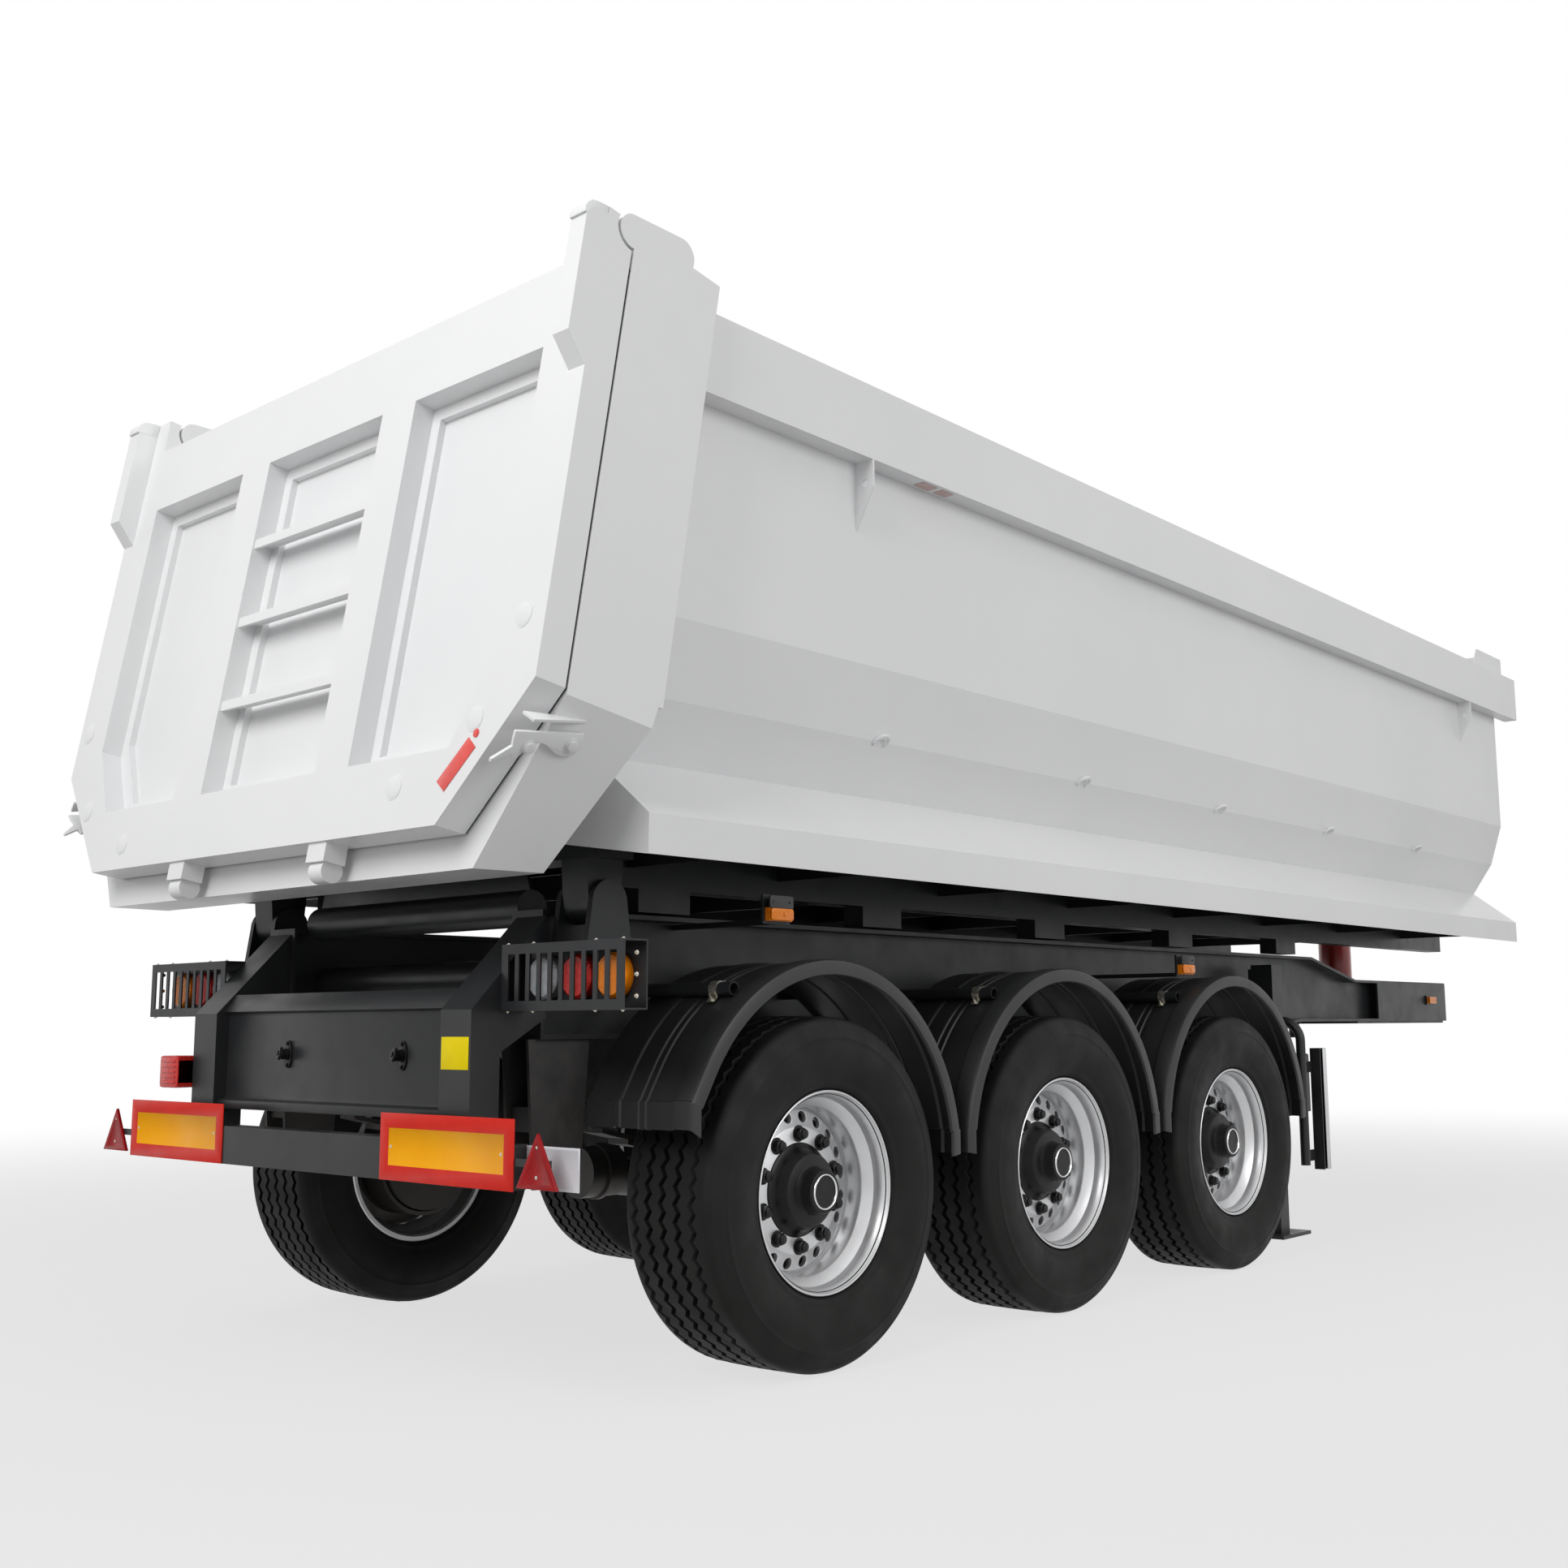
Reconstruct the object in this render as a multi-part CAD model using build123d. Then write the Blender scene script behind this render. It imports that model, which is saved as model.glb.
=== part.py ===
from build123d import *
import math
import os

# Three-axle tipping semi-trailer: chassis, tipping half-pipe body, top-hinged rear gate,
# telescopic front hoist and six single wheels. Millimetres. X points forward, Y left, Z up.
# Places along X are first given from the rear axle, and the whole part is then moved so
# that its origin lies on the ground below the middle of its outline.

# Wheels and axles
axle_count = 3
axle_pitch = 1310
track = 2040
tyre_radius = 525
tyre_width = 385
tread_width = 316
tyre_bulge_radius = 415
bead_radius = 288
rim_width = 318
rim_flange_radius = 303
rim_wall = 9
rim_well_radius = 250
disc_y = 18
disc_thickness = 14
nut_circle_radius = 167.5
nut_count = 10
nut_radius = 16
nut_height = 24
hub_flange_radius = 140
hub_length = 92
hub_cap_radius = 66
hub_cap_length = 58
hub_bore_margin = 20
drum_radius = 206
drum_length = 190
drum_wall = 14
spindle_radius = 45
axle_tube_radius = 64
brake_flange_radius = 186
shaft_clearance = 0.08
part_gap = 0.3

# Chassis rails
rail_y = 660
rail_width = 140
rail_flange = 14
rail_web = 10
rail_top = 1360
rail_bottom = rail_top - 375
rail_rear_x = -740
neck_top = rail_top - 110
neck_bottom = neck_top - 228
neck_top_drop = (4450, 5000)
neck_bottom_rise = (3700, 4300)
neck_side_start = 300
nose_x = 6690
neck_end_x = nose_x - 150
nose_taper_x = nose_x - 360
nose_half_width = 600
nose_round = 50
coupler_plate_rear_x = 5050
coupler_plate_thickness = 12
coupler_plate_margin = 20
kingpin_x = nose_x - 940
kingpin_collar_radius = 36.5
kingpin_neck_radius = 25.4
kingpin_foot_radius = 35.7
kingpin_collar_length = 30
kingpin_neck_length = 38
kingpin_foot_length = 16
crossmember_radius = 57
crossmember_wall = 8
crossmember_x = (-560, 120, 800, 1480, 2160, 2840, 3520)
neck_crossmember_x = (4300, 5000, 5650)
neck_crossmember_radius = 45

# Tipping pivot
pivot_x = rail_rear_x + 90
pivot_z = rail_top + 15
pivot_pin_radius = 35
pivot_boss_radius = 60
pivot_boss_inner_y = 784
pivot_boss_outer_y = 896
pivot_side_gap = 4
pivot_ear = 20
pivot_ear_radius = 66
pivot_bracket_bottom = pivot_z - 195
pivot_bracket_base = 60
pivot_bracket_half_length = 86
lug_half_length = 70
lug_beam_half = 940

# Rear end of the chassis
upright_outer_y = 750
upright_inner_y = 610
upright_rear_x = rail_rear_x - 260
upright_front_x = upright_rear_x + 100
upright_bottom = 600
upright_knee_z = 1070
upright_rail_drop = 20
upright_foot_rise = 60
upright_front_drop = 120
rear_panel_x = upright_rear_x + 45
rear_panel_bottom = 766
rear_panel_top = 1130
rear_panel_thickness = 8
rear_panel_lip = 60
socket_y = 350
socket_z = 960
socket_radius = 28
socket_length = 34
bumper_rear_x = upright_rear_x - 60
bumper_half_width = 1000
bumper_bottom = upright_bottom
bumper_top = bumper_bottom + 117
board_inner_y = 430
board_outer_y = 1025
board_top = bumper_bottom + 185
board_thickness = 4
plate_inner_y = 690
plate_outer_y = 1210
plate_bottom = bumper_bottom + 3
plate_top = plate_bottom + 111
plate_thickness = 3
triangle_y = 1125
triangle_bottom = bumper_bottom + 12
triangle_height = 140
triangle_thickness = 10
triangle_arm_z = bumper_bottom + 65
triangle_arm_height = 20
triangle_arm_thickness = 8
triangle_arm_reach = 40
lamp_guard_rear_x = upright_front_x
lamp_guard_front_x = lamp_guard_rear_x + 85
lamp_guard_outer_y = 1258
lamp_guard_bottom = 1064
lamp_guard_top = 1250
lamp_guard_sheet = 5
lamp_guard_slots = 10
lamp_guard_slot_height = 130
lamp_guard_slot_share = 0.64
lamp_guard_margin = 20
lamp_shares = (0.22, 0.5, 0.78)
lamp_radius = 62
lamp_depth = 32
lamp_bevel = 8
fog_lamp_y = 830
fog_lamp_z = 880
fog_lamp_size = 100
fog_lamp_half_width = 60
fog_lamp_depth = 60
fog_lamp_inset = 20
lamp_bracket_sheet = 8
lamp_bracket_half = 60
side_lamp_half_length = 50
side_lamp_half_height = 20
side_lamp_depth = 18
side_lamp_y = 1100

# Mudguards
guard_radius = 632
guard_centre_rise = 55
guard_sheet = 6
guard_inner_y = 775
guard_outer_y = 1212
guard_end_z = 640
guard_lip = 26
guard_flap_z = 600
guard_skirt_angle = 127
guard_skirt_z = 740
guard_tube_radius = 21
guard_tube_wall = 4
guard_tube_angles = (57, 123)
guard_tube_end_y = 1130

# Suspension
spring_y = 650
spring_width = 90
spring_leaf = 16
spring_leaves = 3
spring_leaf_step = 0.22
spring_reach = 470
spring_rise = 60
spring_seat = 24
spring_seat_half = 70
hanger_half_length = 85
hanger_flare = 30
hanger_width = 124
hanger_bottom = 560
hanger_plate = 12
equaliser_height = 70
equaliser_overlap = 60
chamber_radius = 82
chamber_length = 150
chamber_stand_off = 40
chamber_rise = 30
chamber_arm_half = 30
chamber_band = 8
chamber_y = 330
tank_radius = 125
tank_length = 760
tank_round = 40
tank_z = 850
tank_y = 330
tank_strap_half = 20

# Landing legs and side guards
leg_x = 3760
leg_y = 800
leg_tube = 110
leg_inner_tube = 90
leg_tube_bottom = 430
leg_top_drop = 60
leg_pad_margin = 20
leg_foot_length = 300
leg_foot_width = 210
leg_foot_thickness = 16
leg_wall = 8
leg_shaft_drop = 130
leg_shaft_radius = 16
crank_radius = 14
crank_reach = 140
crank_arm = 28
crank_length = 260
side_guard_y = 1190
side_guard_x = (3330, 3530)
side_guard_bottom = 350
side_guard_top = 900
side_guard_tube_radius = 21
side_guard_tube_inset = 28
side_guard_bend = 90
side_guard_post = (60, 50)
side_guard_sheet = 5
side_guard_strap = 6
side_guard_strap_height = 50
side_guard_strap_drops = (60, 460)

# Tipping body, its half-pipe section given up from the floor
body_sheet = 8
body_front_x = 6260
body_floor = rail_top + 252
body_floor_half = 620
body_pipe_y = 810
body_pipe_z = body_floor + 56
body_crease_y = 965
body_crease_z = body_floor + 172
body_lower_y = 1080
body_lower_z = body_floor + 344
body_wall_y = 1150
body_wall_z = body_floor + 571
body_top = body_floor + 1488
top_rail_width = 75
top_rail_height = 250
top_rail_front_x = body_front_x + 190
visor_top = body_top + 140
visor_rear_x = body_front_x - 310
visor_slope = 90
wall_rib_drops = (1060, 770, 480)
wall_rib_inner_y = 200
wall_rib = 60
skirt_outer_y = body_wall_y + 55
skirt_fold_z = body_floor - 13
skirt_bottom = skirt_fold_z - 113
skirt_sheet = 6
skirt_overlap = 30
skirt_rear_x = rail_rear_x - 27
runner_y = 700
runner_width = 90
runner_bottom = body_floor - 172
runner_rear_x = rail_rear_x + 180
runner_pad_x = (-380, 700, 1800, 2900, 4000)
runner_pad_length = 220
runner_pad_gap = 8
bearer_x = (-430, 250, 1150, 2050, 2950, 3850, 4750, 5650)
bearer_bottom = body_floor - 112
bearer_sheet = 12
bearer_rise = 100
hook_x = (-725, 390, 1650, 2780, 3920, 5060)
hook_radius = 30
hook_wire = 12
hook_stand_off = 6
gusset_x = (190, 5650)
gusset_heights = (90, 230)
gusset_hole_radius = 14
gusset_hole_place = (42, 75)

# Hoist: the tube hangs by trunnions on the front wall, and the last stage ends in an eye on the neck
hoist_x = body_front_x + 155
trunnion_z = body_floor + 43
hoist_foot_z = neck_bottom + 88
hoist_tube_radius = 100
hoist_stage_radii = (88, 76, 64, 52)
hoist_wall = 8
hoist_bottom = hoist_foot_z + 95
hoist_length = 1485
hoist_stage_step = 22
hoist_cap = 12
trunnion_radius = 30
trunnion_boss_radius = 48
hoist_eye_radius = 48
hoist_eye_half = 100
hoist_eye_neck = 30
cradle_half = 70
cradle_plate = 16
cradle_ear = 22
cradle_gap = 4
hoist_ear = 25
hoist_ear_radius = 70
hoist_ear_rise = 250

# Rear frame and gate, both leaning forward towards the top
gate_lean = 9.43
lean = math.radians(gate_lean)
gate_x = -1205
gate_ref_z = 2000
gate_depth = 98
gate_gap = 8
post_width = 125
gate_half_width = body_wall_y + post_width
gate_top = body_top + 13
gate_bottom = body_floor - 73
gate_chamfer_z = gate_bottom + 355
gate_chamfer_run = 325
gate_bottom_half = gate_half_width - gate_chamfer_run
gate_sheet = 8
gate_stile = 195
gate_top_bar = 243
gate_bottom_bar = 206
gate_post_inner = 320
gate_post_outer = 490
gate_step = 42
gate_step_depth = 22
gate_cell_cut = 130
gate_cell_rise = 228
rung_drops = (513, 783, 1063)
rung_sheet = 10
rung_inset = 8
rung_lip = 32
post_depth = 330
post_top_drop = 12
sill_bottom = body_floor - 182
sill_margin = 35
sill_bottom_half = gate_bottom_half + sill_margin
sill_depth = 216
frame_chamfer_z = sill_bottom + 450
post_front_run = 175
post_front_rise = 444
hinge_z = gate_top + 85
hinge_x = gate_x + math.tan(lean) * (hinge_z - gate_ref_z) + gate_depth / math.cos(lean)
hinge_link_length = 181
hinge_link_radius = 50
hinge_link_thickness = 40
hinge_pin_radius = 22
hinge_ear_radius = 48
hinge_ear_thickness = 53
hinge_side_gap = 6
hinge_ear_outer = gate_half_width - hinge_link_thickness - hinge_side_gap
hinge_ear_inner = hinge_ear_outer - hinge_ear_thickness
arm_inner_y = hinge_ear_inner - hinge_side_gap - hinge_link_thickness
arm_clearance = 10
arm_top_gap = 47
arm_top_z = gate_top + 123
flange_width = 65
flange_reach = 70
flange_corner = 30
flange_top_z = gate_top + 101
flange_bottom_z = gate_top - 283
flange_cut_z = flange_bottom_z - 70
gate_lug_y = (395, -395)
gate_lug_half = 45
gate_lug_drop = 110
gate_lug_radius = 34
gate_lug_height = 56
gate_lug_depths = (8, 78)
gate_barrel_depth = 48
gate_barrel_margin = 12
latch_drop = 120
latch_length = 150
latch_reach = 125

origin_x = (nose_x + gate_x - math.tan(lean) * (gate_ref_z - gate_bottom)) / 2
axle_z = tyre_radius
axle_x = [axle_pitch * number for number in range(axle_count)]
beyond = 2 * nose_x


def block(x0, x1, y0, y1, z0, z1):
    size = (abs(x1 - x0), abs(y1 - y0), abs(z1 - z0))
    return Pos((x0 + x1) / 2, (y0 + y1) / 2, (z0 + z1) / 2) * Box(*size)


def prism_y(points, y0, y1):
    """Closed outline of (x, z) points carried along Y."""
    plane = Plane(origin=(0, y0, 0), x_dir=(1, 0, 0), z_dir=(0, -1, 0))
    face = make_face(plane * Polyline(*points, close=True))
    return extrude(face, amount=y1 - y0, dir=(0, 1, 0))


def prism_x(points, x0, x1):
    """Closed outline of (y, z) points carried along X."""
    plane = Plane(origin=(x0, 0, 0), x_dir=(0, 1, 0), z_dir=(1, 0, 0))
    face = make_face(plane * Polyline(*points, close=True))
    return extrude(face, amount=x1 - x0, dir=(1, 0, 0))


def prism_z(points, z0, z1):
    """Closed outline of (x, y) points carried along Z."""
    face = make_face(Plane((0, 0, z0)) * Polyline(*points, close=True))
    return extrude(face, amount=z1 - z0, dir=(0, 0, 1))


def rod_y(x, z, radius, y0, y1):
    return Pos(x, (y0 + y1) / 2, z) * Rot(90, 0, 0) * Cylinder(radius, abs(y1 - y0))


def rod_x(y, z, radius, x0, x1):
    return Pos((x0 + x1) / 2, y, z) * Rot(0, 90, 0) * Cylinder(radius, abs(x1 - x0))


def rod_z(x, y, radius, z0, z1):
    return Pos(x, y, (z0 + z1) / 2) * Cylinder(radius, abs(z1 - z0))


def band(points, thickness):
    """Closed outline of a sheet folded along the points, its thickness to their right."""
    vectors = [Vector(*point) for point in points]
    normals = []
    for start, end in zip(vectors, vectors[1:]):
        along = (end - start).normalized()
        normals.append(Vector(along.Y, -along.X))
    inner = [vectors[0] + normals[0] * thickness]
    for corner, before, after in zip(vectors[1:], normals, normals[1:]):
        middle = (before + after).normalized()
        inner.append(corner + middle * (thickness / middle.dot(before)))
    inner.append(vectors[-1] + normals[-1] * thickness)
    return [(v.X, v.Y) for v in vectors + inner[::-1]]


def mirrored(points):
    """Outline of (y, z) points on the left, closed by its mirror image on the right."""
    return points + [(-y, z) for y, z in reversed(points)]


def left_and_right(solid):
    return [solid, mirror(solid, about=Plane.XZ)]


def lean_plane(depth):
    """Plane of the gate's rear face moved forward by depth; local Y runs up the slope."""
    forward = Vector(math.cos(lean), 0, -math.sin(lean))
    return Plane(origin=Vector(gate_x, 0, gate_ref_z) + forward * depth, x_dir=(0, 1, 0), z_dir=forward)


def slope(z):
    """Distance up the slope of the gate's rear face for a height."""
    return (z - gate_ref_z) / math.cos(lean)


def lean_x(z, depth):
    """X of the leaning plane at a height."""
    return gate_x + math.tan(lean) * (z - gate_ref_z) + depth / math.cos(lean)


def lean_prism(outline, depth0, depth1):
    """Closed outline of (y, slope) points, carried forward from one depth to another."""
    plane = lean_plane(depth0)
    face = make_face(plane * Polyline(*outline, close=True))
    return extrude(face, amount=depth1 - depth0, dir=plane.z_dir)


def turned(points, y):
    """Closed outline of (y, radius) points turned about a wheel's axle line at Y."""
    face = make_face(Plane.YZ * Polyline(*points, close=True))
    return Pos(0, y, 0) * revolve(face, axis=Axis.Y)


def save(name, *solids):
    """Write one node, moved to the part's origin."""
    placed = [Pos(-origin_x, 0, 0) * solid for solid in solids]
    shape = placed[0] if len(placed) == 1 else Compound(children=[Part(p.wrapped) for p in placed])
    export_step(shape, f"parts/{name}.step")


os.makedirs("parts", exist_ok=True)


# Chassis rails: I-beams that step up and down into a shallow neck at the front
def frame_rail():
    drop0, drop1 = neck_top_drop
    rise0, rise1 = neck_bottom_rise
    top = [(rail_rear_x, rail_top), (drop0, rail_top), (drop1, neck_top), (neck_end_x, neck_top)]
    bottom = [(rail_rear_x, rail_bottom), (rise0, rail_bottom), (rise1, neck_bottom), (neck_end_x, neck_bottom)]
    inner, outer = rail_y - rail_width / 2, rail_y + rail_width / 2
    rail = prism_y(band(top, rail_flange), inner, outer)
    rail += prism_y(band(bottom[::-1], rail_flange), inner, outer)
    rail += prism_y(top + bottom[::-1], rail_y - rail_web / 2, rail_y + rail_web / 2)
    rail += block(drop1 + neck_side_start, neck_end_x, outer - rail_web, outer, neck_bottom, neck_top)
    rail += block(rail_rear_x, rail_rear_x + rail_web, inner, outer, rail_bottom, rail_top)
    cut = [(nose_taper_x, outer), (nose_x, nose_half_width), (nose_x, outer)]
    return rail - prism_z(cut, neck_bottom, neck_top)


rail_left = frame_rail()
rail_right = mirror(rail_left, about=Plane.XZ)
save("frame_rail_left", rail_left)
save("frame_rail_right", rail_right)


# Crossmembers between the webs, the nose beam and the cradle that carries the hoist
def nose_beam():
    outer = rail_y + rail_width / 2
    end_y = outer - (outer - nose_half_width) * (neck_end_x - nose_taper_x) / (nose_x - nose_taper_x)
    outline = [(neck_end_x, -end_y), (neck_end_x, end_y), (nose_x, nose_half_width), (nose_x, -nose_half_width)]
    beam = prism_z(outline, neck_bottom, neck_top)
    front = beam.edges().filter_by(Axis.Y).sort_by(Axis.X)[-2:]
    return fillet(front.sort_by(Axis.Z)[-1], nose_round)


def hoist_cradle():
    web_y = rail_y - rail_web / 2
    base_bottom = neck_bottom + rail_flange
    base_top = base_bottom + cradle_plate
    x0, x1 = hoist_x - cradle_half, hoist_x + cradle_half
    cradle = block(x0, x1, -web_y, web_y, base_bottom, base_top)
    near = hoist_eye_half + cradle_gap
    for y0, y1 in ((near, near + cradle_ear), (-near - cradle_ear, -near)):
        ear = block(x0, x1, y0, y1, base_top, hoist_foot_z)
        ear += rod_y(hoist_x, hoist_foot_z, cradle_half, y0, y1)
        cradle += ear - rod_y(hoist_x, hoist_foot_z, trunnion_radius, y0, y1)
    return cradle


def crossmembers():
    web_y = rail_y - rail_web / 2
    rail_middle = (rail_top + rail_bottom) / 2
    neck_middle = (neck_top + neck_bottom) / 2
    rows = [(x, rail_middle, crossmember_radius) for x in crossmember_x]
    rows += [(x, neck_middle, neck_crossmember_radius) for x in neck_crossmember_x]
    tubes = []
    for x, z, radius in rows:
        tube = rod_y(x, z, radius, -web_y, web_y)
        tubes.append(tube - rod_y(x, z, radius - crossmember_wall, -web_y, web_y))
    return tubes + [nose_beam(), hoist_cradle()]


save("crossmembers", *crossmembers())


# Coupler plate under the neck with the kingpin
def coupler():
    half = rail_y + rail_width / 2 - coupler_plate_margin
    z = neck_bottom - coupler_plate_thickness
    plate = block(coupler_plate_rear_x, nose_taper_x, -half, half, z, neck_bottom)
    kingpin = (
        (kingpin_collar_radius, kingpin_collar_length),
        (kingpin_neck_radius, kingpin_neck_length),
        (kingpin_foot_radius, kingpin_foot_length),
    )
    for radius, length in kingpin:
        plate += rod_z(kingpin_x, 0, radius, z - length, z)
        z -= length
    return plate


save("coupler_plate", coupler())


# Tipping pivot: ears outboard of each rail with a pin, and the body's boss between them
def tip_pivot_bracket():
    rail_outer = rail_y + rail_web / 2
    inner = pivot_boss_inner_y - pivot_side_gap
    outer = pivot_boss_outer_y + pivot_side_gap
    x0, x1 = pivot_x - pivot_bracket_half_length, pivot_x + pivot_bracket_half_length
    base_top = pivot_bracket_bottom + pivot_bracket_base
    bracket = block(x0, x1, rail_outer, outer + pivot_ear, pivot_bracket_bottom, base_top)
    ear_outline = [
        (x0, base_top),
        (x1, base_top),
        (pivot_x + pivot_ear_radius, pivot_z),
        (pivot_x - pivot_ear_radius, pivot_z),
    ]
    for y0, y1 in ((inner - pivot_ear, inner), (outer, outer + pivot_ear)):
        bracket += prism_y(ear_outline, y0, y1) + rod_y(pivot_x, pivot_z, pivot_ear_radius, y0, y1)
    bracket += rod_y(pivot_x, pivot_z, pivot_pin_radius, inner, outer)
    return bracket


pivot_brackets = [solid - rail for solid, rail in zip(left_and_right(tip_pivot_bracket()), (rail_left, rail_right))]
save("tip_pivot_brackets", *pivot_brackets)


# Rear uprights, panel, underrun bar and boards
def rear_upright():
    outline = [
        (upright_rear_x, upright_bottom),
        (upright_rear_x, upright_knee_z),
        (rail_rear_x, rail_top - upright_rail_drop),
        (rail_rear_x, rail_bottom + upright_foot_rise),
        (upright_front_x, upright_knee_z - upright_front_drop),
        (upright_front_x, upright_bottom),
    ]
    return prism_y(outline, upright_inner_y, upright_outer_y)


save("rear_uprights", *left_and_right(rear_upright()))

panel_profile = [
    (rear_panel_x + rear_panel_lip, rear_panel_top),
    (rear_panel_x, rear_panel_top),
    (rear_panel_x, rear_panel_bottom),
    (rear_panel_x + rear_panel_lip, rear_panel_bottom),
]
rear_panel = prism_y(band(panel_profile, -rear_panel_thickness), -upright_inner_y, upright_inner_y)
for side in (1, -1):
    rear_panel += rod_x(side * socket_y, socket_z, socket_radius, rear_panel_x - socket_length, rear_panel_x)
save("rear_panel", rear_panel)

bumper = block(bumper_rear_x, upright_rear_x, -bumper_half_width, bumper_half_width, bumper_bottom, bumper_top)
arm_x1 = bumper_rear_x + triangle_arm_thickness
arm_end_y = triangle_y + triangle_arm_reach
bumper += block(bumper_rear_x, arm_x1, -arm_end_y, arm_end_y, triangle_arm_z, triangle_arm_z + triangle_arm_height)
save("underrun_bar", bumper)

boards = []
for side in (1, -1):
    y0, y1 = side * board_inner_y, side * board_outer_y
    boards.append(block(bumper_rear_x - board_thickness, bumper_rear_x, y0, y1, bumper_bottom, board_top))
plate_x1 = upright_rear_x + plate_thickness
number_plate = block(upright_rear_x, plate_x1, -plate_outer_y, -upright_outer_y, plate_bottom, plate_top)
boards.append(number_plate)
save("marker_boards", *boards)


def warning_triangle():
    half = triangle_height * math.tan(math.radians(30))
    points = [
        (triangle_y - half, triangle_bottom),
        (triangle_y + half, triangle_bottom),
        (triangle_y, triangle_bottom + triangle_height),
    ]
    return prism_x(points, bumper_rear_x - triangle_thickness, bumper_rear_x)


save("warning_triangles", *left_and_right(warning_triangle()))


# Lamp guards with slotted grilles, and the round lamps behind the slots
lamp_guard_inner_y = upright_outer_y
lamp_guard_width = lamp_guard_outer_y - lamp_guard_inner_y
lamp_centres = [lamp_guard_inner_y + lamp_guard_width * share for share in lamp_shares]
lamp_z = (lamp_guard_bottom + lamp_guard_top) / 2


def lamp_guard():
    x0, x1 = lamp_guard_rear_x, lamp_guard_front_x
    y0, y1 = lamp_guard_inner_y, lamp_guard_outer_y
    sheet = lamp_guard_sheet
    low, high = lamp_guard_bottom, lamp_guard_top
    guard = block(x0, x1, y0, y1, low, high)
    guard -= block(x0 + sheet, x1 - sheet, y0, y1, low + sheet, high - sheet)
    pitch = (lamp_guard_width - 2 * lamp_guard_margin) / lamp_guard_slots
    half_width = pitch * lamp_guard_slot_share / 2
    half_height = lamp_guard_slot_height / 2
    for number in range(lamp_guard_slots):
        y = y0 + lamp_guard_margin + pitch * (number + 0.5)
        guard -= block(x0, x0 + sheet, y - half_width, y + half_width, lamp_z - half_height, lamp_z + half_height)
    return guard


def lamp(y):
    back = lamp_guard_front_x - lamp_guard_sheet
    lens = rod_x(y, lamp_z, lamp_radius, back - lamp_depth, back)
    return chamfer(lens.edges().sort_by(Axis.X)[0], lamp_bevel)


fog_x = upright_rear_x + fog_lamp_inset
fog_half = fog_lamp_size / 2
fog_end_y = fog_lamp_y + fog_lamp_half_width
fog_bottom, fog_top = fog_lamp_z - fog_half, fog_lamp_z + fog_half
fog_lamp = block(fog_x - fog_lamp_depth, fog_x, fog_lamp_y - fog_lamp_half_width, fog_end_y, fog_bottom, fog_top)
fog_bracket = block(fog_x, fog_x + lamp_bracket_sheet, upright_outer_y, fog_end_y, fog_bottom, fog_top)

# Amber lamps along the sides, each on a small plate that stands out from the rail
rail_side_y = rail_y + rail_width / 2
side_lamps = (
    # x, y of the plate, z, plate rises above the lamp
    (-150, side_lamp_y, 1352, 60),
    (2360, side_lamp_y, 1240, 60),
    (6070, rail_side_y, 1145, 28),
)
side_lamp_solids = []
lamp_brackets = [fog_bracket]
for x, y, z, rise in side_lamps:
    y1 = y + lamp_bracket_sheet
    low = z - side_lamp_half_height - lamp_bracket_sheet
    x0, x1 = x - side_lamp_half_length, x + side_lamp_half_length
    lens = block(x0, x1, y1, y1 + side_lamp_depth, z - side_lamp_half_height, z + side_lamp_half_height)
    plate = block(x - lamp_bracket_half, x + lamp_bracket_half, y, y1, low, z + rise)
    if y > rail_side_y:
        arm_half = lamp_bracket_half / 4
        plate += block(x - arm_half, x + arm_half, rail_y + rail_web / 2, y, low, low + 2 * lamp_bracket_sheet)
    side_lamp_solids += left_and_right(lens)
    lamp_brackets += left_and_right(plate)
save("lamps_clear", *left_and_right(lamp(lamp_centres[0])))
save("lamps_red", *left_and_right(lamp(lamp_centres[1])), fog_lamp)
save("lamps_amber", *left_and_right(lamp(lamp_centres[2])), *side_lamp_solids)
save("lamp_guards", *left_and_right(lamp_guard()), *lamp_brackets)


# Mudguards: one arched sheet over each wheel with a rolled outer lip, on two tubes
guard_centre_z = axle_z + guard_centre_rise


def guard_point(angle, radius):
    """Point of the arch (from its own centre), the angle counted from straight ahead."""
    return radius * math.cos(math.radians(angle)), guard_centre_z + radius * math.sin(math.radians(angle))


def guard_outline(is_last, outer, inner):
    """Closed side outline of the arch between two radii, with flat ends."""
    start = math.degrees(math.asin((guard_end_z - guard_centre_z) / outer))
    stop = guard_skirt_angle if is_last else 180 - start
    middle = (start + stop) / 2
    front0, top0, rear0 = [guard_point(angle, outer) for angle in (start, middle, stop)]
    front1, top1, rear1 = [guard_point(angle, inner) for angle in (start, middle, stop)]
    arcs = ThreePointArc(front0, top0, rear0) + ThreePointArc(rear1, top1, front1)
    front = Polyline(front1, (front1[0], guard_flap_z), (front0[0], guard_flap_z), front0)
    if is_last:
        run = (rear0[1] - guard_skirt_z) / math.cos(math.radians(180 - stop))
        end_x = rear0[0] - run * math.sin(math.radians(stop))
        rear = Polyline(rear0, (end_x, guard_skirt_z), (end_x + outer - inner, guard_skirt_z), rear1)
    else:
        rear = Polyline(rear0, (rear0[0], guard_flap_z), (rear1[0], guard_flap_z), rear1)
    return arcs + rear + front


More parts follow.
